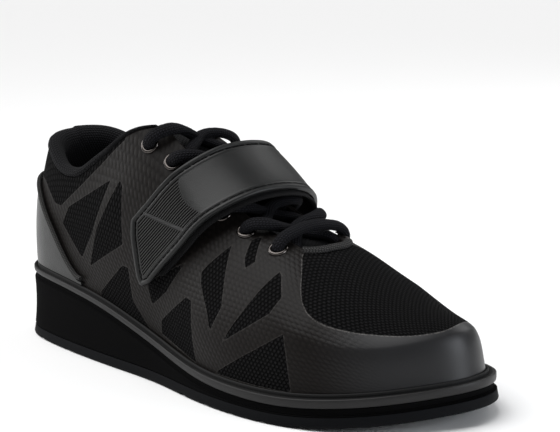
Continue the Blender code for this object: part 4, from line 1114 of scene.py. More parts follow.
@dataclass
class Sole:
    """Outsole, wedge, lip and insole."""

    grooves: tuple = (0.100, 0.200, 0.560, 0.625, 0.690, 0.755, 0.820)

    def ring(self, columns: Columns, grow: float, height: Callable[[Array], Array]) -> Array:
        """One ring round the sole: its edge moved outward, at a height that depends on x."""
        p = LAST.around(grown(LAST.edge, grow), columns.t)
        return np.column_stack([p, height(p[:, 0])])

    def body(self, name: str, columns: Columns, rings: Sequence[Array]) -> Piece:
        """A closed piece from stacked rings."""
        piece = Piece(name)
        faces = grid_faces(len(rings), columns.count, False, True)
        faces += columns.strips(0, False) + columns.strips((len(rings) - 1) * columns.count, True)
        stack = np.array(rings)
        piece.add(stack, faces, stack[..., :2] * 1000)
        return piece

    def groove_rise(self, x: Array) -> Array:
        """How far the underside is cut up by the flex grooves."""
        half = SIZE.groove_width / 2
        rise = np.zeros_like(x)
        for place in self.grooves:
            away = np.abs(x - place * SIZE.length)
            rise = np.maximum(rise, SIZE.groove_depth * (1 - smoothstep(away, half - 0.0004, half + 0.0002)))
        return rise

    def outsole(self, columns: Columns) -> None:
        """The thin rubber tread with a rounded lower edge."""
        s = SIZE
        profile = (
            (s.flare - 0.0100, 0.0), (s.flare - 0.0020, 0.0), (s.flare - 0.0008, 0.0001),
            (s.flare - 0.0002, 0.0005), (s.flare, 0.0012), (s.flare * 0.8, 0.0026),
            (s.flare * 0.55, s.outsole - 0.0004), (s.flare * 0.4, s.outsole),
            (s.flare * 0.4 - 0.004, s.outsole),
        )

        def height(x: Array, up: float) -> Array:
            """The height over the floor, cut up by the grooves where it is low."""
            return LAST.ground(x) + np.maximum(up, self.groove_rise(x) if up < s.groove_depth else 0)

        rings = [self.ring(columns, grow, lambda x, up=up: height(x, up)) for grow, up in profile]
        rubber = Rubber("tread_rubber", (0.0030, 0.0032, 0.0038), (0.0052, 0.0056, 0.0066), 0.66,
                        specular=0.06)
        self.body("tread", columns, rings).make([rubber.build()], ["outsole"], "outsole", 50)

    def midsole(self, columns: Columns) -> None:
        """The raised wedge with its recessed strip under the lip."""
        s = SIZE
        low = s.outsole + s.gap

        def step(x: Array) -> Array:
            """The height where the recess starts."""
            return np.maximum(LAST.bed(x) - s.gap - s.step_height, LAST.ground(x) + low + 0.0007)

        def share(part: float) -> Callable[[Array], Array]:
            """A height between the bottom and the recess."""
            return lambda x: LAST.ground(x) + low + (step(x) - LAST.ground(x) - low) * part

        def top(x: Array) -> Array:
            """The height of the wedge's top."""
            return LAST.bed(x) - s.gap

        half = s.flare * 0.5
        rings = [self.ring(columns, half - 0.010, share(0)), self.ring(columns, half - 0.0004, share(0)),
                 self.ring(columns, half, share(0.04))]
        for part in (0.2, 0.4, 0.6, 0.8):
            hollow = 0.0006 * math.sin(part * math.pi)
            rings.append(self.ring(columns, half * (1 - part) - hollow, share(part)))
        rings += [
            self.ring(columns, 0.0, share(0.97)), self.ring(columns, -0.0003, step),
            self.ring(columns, -s.step_depth, lambda x: step(x) + 0.0004),
            self.ring(columns, -s.step_depth, top), self.ring(columns, -s.step_depth - 0.01, top),
        ]
        foam = Rubber("wedge_foam", (0.0022, 0.0022, 0.0023), (0.0036, 0.0036, 0.0038), 0.90, 1200,
                      0.00012, 0.03)
        self.body("wedge", columns, rings).make([foam.build()], ["midsole"], "midsole", 40)

    def welt(self, columns: Columns) -> None:
        """The lip round the upper, with a groove and a bead against it."""
        s = SIZE
        n = columns.count
        foot = LAST.surface(columns.t, np.zeros(n))
        spread = LAST.outward(columns.t, np.full(n, 0.02))
        spread[:, 2] = 0
        spread = unit(spread)

        def inner(heights: Array) -> Array:
            """The ring against the upper at heights over the bed."""
            v = np.array([LAST.share_of_height(a, b) for a, b in zip(columns.t, foot[:, 2] + heights)])
            return LAST.lifted(columns.t, v, s.gap)

        def outer(grow: float, share: float, more: float = 0.0) -> Array:
            """A ring on the lip's outer side, at a share of the lip's height and a little more."""
            return self.ring(columns, grow, lambda x: LAST.bed(x) + LAST.lip(x) * share + more)

        low = inner(np.full(n, 0.0002))
        high = inner(LAST.lip(foot[:, 0]) + s.bead_height)
        lift = np.array([0, 0, 1.0])
        rings = [low - lift * 0.0002, outer(-0.0010, 0.0), outer(-0.0002, 0.0, 0.0001), outer(0.0001, 0.12),
                 outer(0.0003, 0.38), outer(0.0003, 0.62)]
        for angle in (20, 45, 70, 90):
            a = math.radians(angle)
            rings.append(outer(-0.0002 + 0.0005 * math.cos(a), 1.0, -0.0006 + 0.0006 * math.sin(a)))
        edge = high + spread * s.bead_width
        groove = ((0.0006, 0.0), (0.0002, 0.0005), (0.0, 0.0003), (0.0, -0.0003))
        rings += [edge + spread * out - lift * (s.bead_height + down) for out, down in groove]
        half, crown = s.bead_width / 2, 0.0005
        centre = high + spread * half - lift * crown
        for angle in (10, 40, 70, 100, 130, 160):
            a = math.radians(angle)
            rings.append(centre + spread * half * math.cos(a) + lift * crown * math.sin(a))
        piece = Piece("lip")
        stack = np.array(rings)
        flat = np.stack(np.broadcast_arrays(run_length(stack[0])[None] * 1000,
                                            np.arange(len(rings))[:, None] * 0.6), -1)
        # 1 on the groove and bead rings: the bead's own black, and painted shade in the groove
        band = np.repeat(np.array([0.0] * 10 + [1.0] * 10), n)
        piece.add(stack, grid_faces(len(rings), n, True, True), flat, bead=band)
        piece.make([LipRubber().build()], ["welt"], "welt", 55)

    def insole(self, columns: Columns) -> None:
        """The fabric-topped foam insole, cupped at its edge."""
        s = SIZE
        margin = s.wall + 3 * s.gap
        foot = LAST.surface(columns.t, np.zeros(columns.count))
        top = foot[:, 2] + 0.0063 + s.gap
        v = np.array([LAST.share_of_height(t, h) for t, h in zip(columns.t, top)])
        lean = np.linalg.norm(foot[:, :2] - LAST.surface(columns.t, v)[:, :2], axis=1)
        start = LAST.around(LAST.feather, columns.t)
        way = (LAST.around(grown(LAST.feather, -0.001), columns.t) - start) / 0.001

        def ring(inset: float, up: float) -> Array:
            """One ring inside the upper's wall."""
            p = start + way * (inset + lean)[:, None]
            return np.column_stack([p, LAST.bed(p[:, 0]) + s.gap + up])

        profile = (
            (0.0100, 0.0), (0.0006, 0.0), (0.0, 0.0012), (0.0, 0.0054), (0.0005, 0.0059), (0.0013, 0.0060),
            (0.0028, 0.0053), (0.0045, 0.0044), (0.0065, 0.0040), (0.0120, 0.0038),
        )
        rings = [ring(margin + inset, up) for inset, up in profile]
        cloth = Knit("insole_cloth", (0.0030, 0.0030, 0.0032), (0.008, 0.008, 0.0088), 1.1, 0.0002)
        self.body("sock_liner", columns, rings).make([cloth.build()], ["insole"], "insole", 60)

    def build(self) -> None:
        """Builds all of the sole's pieces."""
        columns = Columns(150, 61)
        self.outsole(columns)
        self.midsole(columns)
        self.welt(columns)
        self.insole(columns)


@dataclass
class Upper:
    """The hollow upper of mesh and film, with its counter and cords."""

    rows: int = 84
    hole: float = 0.0033
    counter_end: float = 0.240
    counter_thickness: float = 0.0011
    cord: float = 0.0012

    def windows(self, points: Array) -> Array:
        """Signed distance in millimetres to the open mesh, positive inside it."""
        side = points[:, [0, 2]] * 1000
        scale = np.array([SIZE.length, SIZE.instep]) * 1000
        best = self.panel_distance(points)
        for outline in WINDOWS:
            best = np.maximum(best, polygon_distance(side, np.array(outline) * scale))
        return best

    def panel_distance(self, points: Array) -> Array:
        """Signed distance in millimetres to the mesh panel over the toes, positive inside it."""
        panel = closed_curve(np.array(VAMP_PANEL) * [SIZE.length, SIZE.ball], 160)
        return polygon_distance(points[:, :2] * 1000, panel * 1000)

    def cap_share(self, points: Array) -> Array:
        """How much of the smooth toe cap is at each point."""
        away = points[:, 0] / SIZE.length + 0.10 * (points[:, 2] / SIZE.instep) - 0.02
        return smoothstep(away, 0.82, 0.93)

    def dented(self, points: Array, normals: Array) -> Array:
        """The upper's soft creases."""
        s = SIZE
        moved = points.copy()
        for along, height, side, reach, depth, run, lean in DENTS:
            x = points[:, 0] - along * s.length
            z = points[:, 2] - height * s.instep
            a = x * math.cos(lean) - z * math.sin(lean)
            b = x * math.sin(lean) + z * math.cos(lean)
            here = np.exp(-(a / run) ** 2 - (b / (reach * 0.6)) ** 2)
            if side:
                here = here * smoothstep(points[:, 1] * side, -0.004, 0.014)
            moved -= normals * (here * depth * 0.001)[:, None]
        return moved

    def shell(self) -> None:
        """The upper's sheet, thickened inward, with its eyelet holes."""
        columns = Columns(150, 61)
        rims = np.array([LAST.rim_share(float(t), Side.MEDIAL if m else Side.LATERAL)
                         for t, m in zip(columns.t, columns.medial)])
        rise = (np.arange(self.rows + 1) / self.rows) ** 0.95
        t = np.repeat(columns.t[:, None], self.rows + 1, 1)
        v = rims[:, None] * rise[None]
        points = LAST.surface(t, v).reshape(-1, 3)
        normals = LAST.outward(t, v).reshape(-1, 3)
        window = self.windows(points)
        cap = self.cap_share(points)
        trim = 0.30 + 0.70 * (1 - smoothstep(np.abs(self.panel_distance(points)), 1.0, 2.2))
        flat = LAST.weave_places(t.reshape(-1), points)
        fade = smoothstep(v, 0.0, 0.1).reshape(-1, 1)
        points = points + (self.dented(points, normals) - points) * fade
        faces = grid_faces(columns.count, self.rows + 1, True, False)
        centre = points[np.array(faces)].mean(1)
        keep = np.ones(len(faces), bool)
        for row in range(len(EYELETS)):
            for side in Side:
                middle, n = LAST.eyelet(row, side)[:2]
                away = centre - middle
                flat_away = away - (away @ n)[:, None] * n
                keep &= (np.linalg.norm(flat_away, axis=1) > self.hole) | (np.linalg.norm(away, axis=1) > 0.006)
        faces = [f[::-1] for f, k in zip(faces, keep) if k]
        piece = Piece("upper_shell")
        piece.add(points, faces, flat, window=window, cap=cap, trim=trim)
        lining = Knit("lining_knit", (0.0016, 0.0016, 0.0018), (0.0045, 0.0045, 0.0050), 1.2)
        made = piece.make([FilmMesh().build(), lining.build()], ["upper"], "upper", 60)
        wall = made.modifiers.new("wall", "SOLIDIFY")
        wall.thickness = SIZE.wall
        wall.offset = -1.0
        wall.use_even_offset = False
        wall.use_quality_normals = True
        wall.material_offset = 1
        wall.material_offset_rim = 0

    def counter_shares(self, count: int) -> Array:
        """Shares round the heel that the counter covers, from the lateral to the medial side."""
        limit = self.counter_end * SIZE.length
        start = float(LAST.share_at(limit, Side.LATERAL))
        end = float(LAST.share_at(limit, Side.MEDIAL)) - 1
        return np.linspace(start, end, count)

    def counter_range(self, t: float) -> tuple:
        """The lowest and highest share v of the counter on a column."""
        s = SIZE
        foot = LAST.surface(t, 0)
        low = LAST.share_of_height(t, float(foot[2] + LAST.lip(foot[0])) + s.bead_height + 2 * s.gap)
        v = np.linspace(0, 1, 401)
        p = LAST.surface(t, v)
        over = p[:, 2] - natural_spline(COUNTER_LINE, 1, p[:, 0] / s.length) * s.instep
        return low, max(float(np.interp(0, over, v)), low + 0.004)

    def counter(self) -> None:
        """The glossy heel counter and the cord along its edge."""
        s = SIZE
        shares = self.counter_shares(150)
        ranges = np.array([self.counter_range(float(t)) for t in shares])
        rise = np.linspace(0, 1, 32)
        t = np.repeat(shares[:, None], len(rise), 1)
        v = ranges[:, :1] + (ranges[:, 1:] - ranges[:, :1]) * rise[None]
        outer = LAST.lifted(t, v, s.seat + self.counter_thickness)
        inner = LAST.lifted(t, v, s.seat)
        piece = Piece("counter_skin")
        piece.add(np.concatenate([outer.reshape(-1, 3), inner.reshape(-1, 3)]), plate_faces(*t.shape))
        hide = Hide("counter_hide", (0.0088, 0.0092, 0.0092), (0.0150, 0.0155, 0.0152), 0.34, 900, 0.00006)
        piece.make([hide.build()], ["heel_counter"], "counter")
        near = LAST.surface(shares, ranges[:, 1])
        scale = np.linalg.norm(LAST.surface(shares, ranges[:, 1] + 0.05) - near, axis=1) / 0.05
        edge = ranges[:, 1] + (self.cord + 2 * s.gap) / scale
        path = LAST.lifted(shares, edge, self.cord + s.seat)
        cord = Piece("counter_cord")
        cord.tube(path, self.cord, 12, ups=LAST.outward(shares, edge))
        rough = Rope("cord_cover", (0.022, 0.022, 0.022), (0.095, 0.093, 0.090), 1.0)
        cord.make([rough.build()], ["counter_piping"], "piping")

    def build(self) -> None:
        """Builds all of the upper's pieces."""
        self.shell()
        self.counter()


@dataclass
class Collar:
    """The padded roll over the rim and the lining pad below it."""

    end: float = 0.372
    depth: float = 0.034
    thickness: float = 0.0056

    def section(self, slim: float, end: float) -> Array:
        """Points (out from the upper's face, up from its rim) of the pad's closed outline."""
        s = SIZE
        face = -s.wall - s.seat
        deep = self.depth * (1 - 0.90 * slim)
        pad = self.thickness * (1 - 0.82 * slim)
        crown = (1 - 0.45 * slim) * end
        tall = (1 - 0.40 * slim) * end
        return np.array((
            (face, -deep), (face, s.seat), (0.0002, s.seat), (0.0010, 0.0020 * tall), (0.0004, 0.0042 * tall),
            (-0.0026, 0.0056 * tall), (-0.0058 * crown, 0.0046 * tall), (-0.0084 * crown, 0.0014 * tall),
            (face - pad, -0.26 * deep), (face - pad * 0.8, -0.75 * deep), (face - pad * 0.3, -deep),
        ))

    def outline(self, slim: float, end: float) -> Array:
        """The closed outline, smooth on its padded side."""
        knots = self.section(slim, end)
        soft = knots[2:]
        run = run_length(soft)
        even = np.linspace(0, run[-1], 34)
        table = np.column_stack([run, soft])
        curve = np.stack([natural_spline(table, c, even) for c in (1, 2)], 1)
        return np.concatenate([knots[:2], curve])

    def build(self) -> None:
        """Builds the collar."""
        s = SIZE
        xs = np.linspace(s.heel_centre * s.length, self.end * s.length, 54)
        lateral = LAST.share_at(xs, Side.LATERAL)[::-1]
        medial = LAST.share_at(xs, Side.MEDIAL)
        heel = np.linspace(lateral[-1], medial[0] - 1, 63)[1:-1]
        shares = np.concatenate([lateral, heel, medial - 1])
        rims = np.array([min(LAST.rim_share(float(t) % 1.0, Side.LATERAL if t > 0 else Side.MEDIAL), 0.985)
                         for t in shares])
        rim_line = LAST.surface(shares, rims)
        run = run_length(rim_line)
        rings, flats = [], []
        for i, (t, rim) in enumerate(zip(shares, rims)):
            p = rim_line[i]
            slim = float(smoothstep(p[0] / s.length, 0.26, 0.34))
            tip = min(run[i], run[-1] - run[i])
            end = min(1.0, 0.55 + 0.45 * tip / 0.018)
            outline = self.outline(slim, end)
            v = np.linspace(0, rim, 81)
            climb = run_length(LAST.surface(t, v))
            tangent = unit(p - LAST.surface(t, rim - 0.02))
            wave = math.sin(run[i] / 0.0046) * 0.5 + math.sin(run[i] / 0.0107 + 1.3) * 0.5
            out, up = outline[:, 0].copy(), outline[:, 1]
            soft = smoothstep(-up, -0.004, 0.012) * smoothstep(self.depth * 0.9 + up, 0, 0.010) * (1 - slim)
            inside = out < -s.wall - s.seat - 0.0002
            out[inside] -= (0.00045 * wave * soft)[inside]
            share = np.interp(climb[-1] + np.minimum(up, 0), climb, v)
            at = LAST.surface(t, share) + LAST.outward(t, share) * out[:, None]
            over = p + LAST.outward(t, rim) * out[:, None] + tangent * up[:, None]
            rings.append(np.where((up >= 0)[:, None], over, at))
            arc = run_length(rings[-1])
            flats.append(np.stack([np.full(len(arc), run[i] * 1000), arc * 1000], 1))
        piece = Piece("collar_pad")
        piece.add(np.array(rings), tube_faces(len(rings), len(rings[0])), np.array(flats))
        knit = Knit("collar_knit", (0.0030, 0.0030, 0.0036), (0.0125, 0.0125, 0.0145), 1.35, 0.0006)
        made = piece.make([knit.build()], ["collar"], "collar", 70)


@dataclass
class Tongue:
    """The padded tongue under the laces."""

    top: float = 0.372
    end: float = 0.765
    thickness: float = 0.0055
    edge: float = 0.0022
    lace_gap: float = 0.0003

    def place(self, along: float, w: float) -> tuple:
        """Shares (t, v), the square clearance and the sag at a place on the tongue."""
        x = along * SIZE.length
        y = SIZE.throat_axis + float(natural_spline(TONGUE_FORM, 1, along)) * w
        t, v = LAST.share_over(x, y)
        flat = (1 - min(w * w, 1.0)) ** 1.5
        square = SIZE.wall + self.lace_gap + float(plain_table(TONGUE_FORM, 3, along))
        return t, v, square, float(natural_spline(TONGUE_FORM, 2, along)) * flat

    def point(self, along: float, w: float, deeper: float) -> Array:
        """A point on the tongue, or below its face."""
        t, v, square, down = self.place(along, w)
        return LAST.surface(t, v) - LAST.outward(t, v) * (square + deeper) - np.array([0, 0, down])

    def build(self) -> None:
        """Builds the tongue."""
        across = np.sin(np.linspace(-1, 1, 37) * math.pi / 2)
        steps = np.linspace(0, 1, 80) ** 1.2 * (self.end - self.top)
        rows = []
        for step in steps:
            for w in across:
                along = self.top + step + 0.022 * w * w * max(0.0, 1 - step / 0.045)
                rows.append(self.place(along, float(w)) + (step,))
        t, v, square, down, step = np.array(rows).T
        w = np.tile(across, len(steps))
        end = np.minimum(1.0, 0.30 + 0.70 * np.sqrt(np.clip(step / 0.028, 0, 1)))
        thick = self.edge + (self.thickness - self.edge) * np.sqrt(1 - w ** 2) * end
        base, n = LAST.surface(t, v), LAST.outward(t, v)
        puff = 0.0004 * np.sin(step * SIZE.length / 0.0034) * (1 - w ** 4)
        sink = np.stack([np.zeros_like(down), np.zeros_like(down), down], 1)
        outer = base - n * (square - np.maximum(puff, 0) * 0.4)[:, None] - sink
        inner = base - n * (square + thick)[:, None] - sink
        piece = Piece("tongue_pad")
        flat = np.stack([step * SIZE.length * 1000, w * 24], 1)
        faces = plate_faces(len(steps), len(across))
        piece.add(np.concatenate([outer, inner]), faces, np.concatenate([flat, flat]))
        knit = Knit("tongue_mesh", (0.0028, 0.0028, 0.0032), (0.0090, 0.0090, 0.0102), 1.5, 0.0005)
        made = piece.make([knit.build()], ["tongue"], "tongue", 80)


@dataclass
class Fasteners:
    """Eyelets and laces."""

    bore: float = 0.0029
    flange: float = 0.0048
    rim: float = 0.0010
    lace: float = 0.0029
    girth: float = 0.0033
    flat: float = 0.75
    lace_gap: float = 0.0003
    eyelet_rim: float = 0.0007
    lace_half: float = 0.0020

    def eyelets(self) -> None:
        """Twelve flanged metal rings."""
        metal = Metal().build()
        s = SIZE
        bend = [(self.bore, -s.wall - 0.0002), (self.bore, 0.0)]
        for angle in (180, 150, 120, 90, 60, 30, 0, -30):
            a = math.radians(angle)
            half = (self.flange - self.bore) / 2
            up = s.gap + (self.rim - s.gap) * max(math.sin(a), -0.2)
            bend.append((self.bore + half + half * math.cos(a), up))
        bend += [(self.bore + 0.0003, s.gap * 0.4), (self.bore + 0.0003, -s.wall - 0.0002)]
        for row in range(len(EYELETS)):
            for side in Side:
                centre, n, ahead, across = LAST.eyelet(row, side)
                turn = 2 * math.pi * np.arange(36) / 36
                ring = np.cos(turn)[:, None] * ahead + np.sin(turn)[:, None] * across
                rings = np.array([centre + n * up + ring * radius for radius, up in bend])
                piece = Piece(f"eyelet_ring_{side.name.lower()}_{row + 1}")
                piece.add(rings, grid_faces(len(rings), 36, True, True))
                piece.make([metal], [f"eyelet_{side.name.lower()}_{row + 1}"], "metal", 60)

    def over(self) -> float:
        """The height of a lace's middle where it lies on a flap."""
        return SIZE.gap + self.eyelet_rim + self.lace_gap + self.lace_half

    def strand(self, row: int, side: Side, tongue: Tongue) -> tuple:
        """A strand from under one flap, over the tongue and the other flap, down into the next hole."""
        s = SIZE
        centre, n = LAST.eyelet(row - 1, side)[:2]
        first, last = EYELETS[row][0] * s.length, float(centre[0])
        start = float(LAST.throat_half(first)) - 2 * self.lace_gap - self.lace
        spots = []
        for share in (0.0, 0.22, 0.44):
            x = first + (last - first) * share
            y = s.throat_axis - side.value * start * (1 - share / 0.48)
            along = x / s.length
            w = (y - s.throat_axis) / float(natural_spline(TONGUE_FORM, 1, along))
            spots.append(tongue.point(along, max(-1, min(1, w)), -2 * self.lace_gap - self.lace_half))
        tuck = spots[0] + unit(spots[0] - spots[1]) * 0.0045 - np.array([0, 0, 0.0022])
        edge = last + (first - last) * 0.42
        t, v = LAST.share_below_rim(edge, 0.0006, side)
        spots.append(LAST.lifted(t, v, self.over() + 0.0004))
        ahead = unit(spots[-1] - centre)
        ahead = unit(ahead - n * (ahead @ n))
        spots.append(centre + n * self.over() + ahead * 0.0022)
        spots = [tuck] + spots + [centre + n * 0.0004 - ahead * 0.0001, centre - n * 0.0028]
        return np.array(spots), n

    def smooth(self, spots: Array, step: float = 0.0006) -> Array:
        """A smooth line through a few points."""
        run = run_length(spots)
        even = np.linspace(0, run[-1], int(run[-1] / step))
        table = np.column_stack([run, spots])
        return np.stack([natural_spline(table, 1 + c, even) for c in range(3)], 1)

    def rope(self, piece: Piece, path: Array, ups: Array) -> None:
        """Adds one braided strand with its strands standing proud."""
        sides = 22
        run = run_length(path)
        ahead = unit(np.gradient(path, axis=0))
        across = unit(np.cross(ups, ahead))
        lift = np.cross(ahead, across)
        turn = 2 * math.pi * np.arange(sides) / sides
        braid = 0.00014 * np.abs(np.sin(run[:, None] / 0.00125 + 3.0 * np.abs(np.sin(turn * 2.0))[None]))
        wide = self.girth * 0.97 + braid
        ring = np.cos(turn)[None, :, None] * across[:, None]
        ring = ring + np.sin(turn)[None, :, None] * lift[:, None] * self.flat
        points = path[:, None] + ring * wide[..., None]
        flat = np.stack(np.broadcast_arrays(run[:, None] * 1000, turn[None] * 17.6 / (2 * math.pi)), -1)
        piece.add(points, tube_faces(len(path), sides), flat)

    def laces(self, tongue: Tongue) -> None:
        """The criss-cross strands and the lowest bar."""
        cover = Rope("lace_braid", (0.0024, 0.0024, 0.0032), (0.0135, 0.0135, 0.0175)).build()
        for row in range(len(EYELETS) - 1, 0, -1):
            piece = Piece(f"lace_pair_{row}")
            for side in Side:
                spots, n = self.strand(row, side, tongue)
                if side is Side.MEDIAL:
                    spots[2:5] += np.array([[0, 0, 0.0006], [0, 0, 0.0022], [0, 0, 0.0008]])
                path = self.smooth(spots)
                blend = smoothstep(np.linspace(0, 1, len(path)), 0.45, 0.8)[:, None]
                ups = unit(np.array([[0.0, 0.0, 1.0]]) * (1 - blend) + (n + np.array([0.4, 0, 0])) * blend)
                self.rope(piece, path, ups)
            piece.make([cover], [f"lace_cross_{row}"], "lace", 80)
        row = len(EYELETS) - 1
        a, b = LAST.eyelet(row, Side.LATERAL), LAST.eyelet(row, Side.MEDIAL)
        spots, ups = [a[0] - a[1] * 0.0030, a[0] + a[1] * 0.0008], [a[1], a[1]]
        for share in (0.10, 0.25, 0.4, 0.5, 0.6, 0.75, 0.90):
            x, y = (a[0] + (b[0] - a[0]) * share)[:2]
            t, v = LAST.share_over(float(x), float(y))
            n = LAST.outward(t, v)
            spots.append(LAST.surface(t, v) + n * (self.over() + 0.0006 * math.sin(share * math.pi)))
            ups.append(n)
        spots += [b[0] + b[1] * 0.0008, b[0] - b[1] * 0.0030]
        ups += [b[1], b[1]]
        path = self.smooth(np.array(spots))
        run = run_length(np.array(spots))
        even = np.linspace(0, run[-1], len(path))
        lifts = unit(np.stack([np.interp(even, run, np.array(ups)[:, c]) for c in range(3)], 1))
        piece = Piece("lace_lowest")
        self.rope(piece, path, lifts)
        piece.make([cover], ["lace_bar"], "lace", 80)

    def throat_band(self) -> None:
        """The knitted band that edges the throat's base."""
        s = SIZE
        ends = s.throat_base * s.length
        spots, ups = [], []
        for share in np.linspace(-1, 1, 41):
            x = ends + 0.0020 - 0.0050 * abs(share) ** 3
            y = s.throat_axis + 0.0150 * share
            t, v = LAST.share_over(float(x), float(y))
            n = LAST.outward(t, v)
            spots.append(LAST.surface(t, v) + n * 0.0004)
            ups.append(n)
        piece = Piece("throat_band")
        piece.tube(np.array(spots), 0.0022, 16, ups=np.array(ups), flatten=0.55)
        knit = Rope("band_knit", (0.010, 0.010, 0.010), (0.085, 0.083, 0.082), 1.3)
        piece.make([knit.build()], [], "upper", 80)

    def build(self, tongue: Tongue) -> None:
        """Builds eyelets, laces and the band under them."""
        self.eyelets()
        self.laces(tongue)
        self.throat_band()


class Band:
    """Places on the band where the strap crosses the upper, leaning back as it goes down."""

    LEAN = math.radians(43.5)
    BACK = 0.0290
    FRONT = 0.0668
    EDGES = (
        # place across the instep, back edge and front edge (shares of the strap's width on top)
        (-1.00, 0.037, 0.900), (-0.45, 0.037, 0.900), (-0.10, 0.000, 0.940), (0.25, 0.000, 1.000),
        (1.00, 0.000, 1.000),
    )

    def __init__(self) -> None:
        """Tabulates the band over the instep."""
        s = SIZE
        places = np.linspace(0.22, 0.80, 120) * s.length
        self.widths = np.linspace(-0.2, 1.2, 57)
        self.q = np.linspace(0.004, 0.999, 250)
        self.table = {}
        for side in Side:
            t = LAST.share_at(places, side)
            p = LAST.surface(t[None], 1 - self.q[:, None])
            lean = p[..., 0] * math.cos(self.LEAN) - p[..., 2] * math.sin(self.LEAN)
            rows = []
            for q, row in zip(self.q * side.value, lean):
                back, front = float(plain_table(self.EDGES, 1, q)), float(plain_table(self.EDGES, 2, q))
                target = self.BACK + (self.FRONT - self.BACK) * (back + (front - back) * self.widths)
                rows.append(np.interp(target, row, t))
            self.table[side] = np.array(rows)

    def spots(self, width: Array, q: Array) -> tuple:
        """Shares (t, v) for shares of the strap's width and places across from -1 to 1."""
        width, q = np.broadcast_arrays(np.asarray(width, float), np.asarray(q, float))
        away = np.clip(np.abs(q), self.q[0], self.q[-1])
        i = np.clip(np.searchsorted(self.q, away) - 1, 0, len(self.q) - 2)
        j = np.clip(np.searchsorted(self.widths, width) - 1, 0, len(self.widths) - 2)
        a = (away - self.q[i]) / (self.q[i + 1] - self.q[i])
        b = np.clip((width - self.widths[j]) / (self.widths[j + 1] - self.widths[j]), 0, 1)
        found = []
        for side in Side:
            k = self.table[side]
            found.append((k[i, j] * (1 - a) + k[i + 1, j] * a) * (1 - b)
                         + (k[i, j + 1] * (1 - a) + k[i + 1, j + 1] * a) * b)
        return np.where(q > 0, found[1], found[0]), 1 - away

    def points(self, width: Array, q: Array, lift: Array) -> Array:
        """Points of the band at heights over the upper's form."""
        t, v = self.spots(width, q)
        return LAST.surface(t, v) + LAST.outward(t, v) * np.asarray(lift, float)[..., None]

    def scale(self, width: Array, q: Array) -> Array:
        """Metres on the form for each unit of q."""
        q = np.asarray(q, float)
        a, b = self.points(width, q - 0.01, np.zeros(q.shape)), self.points(width, q + 0.01, np.zeros(q.shape))
        return np.linalg.norm(b - a, axis=-1) / 0.02


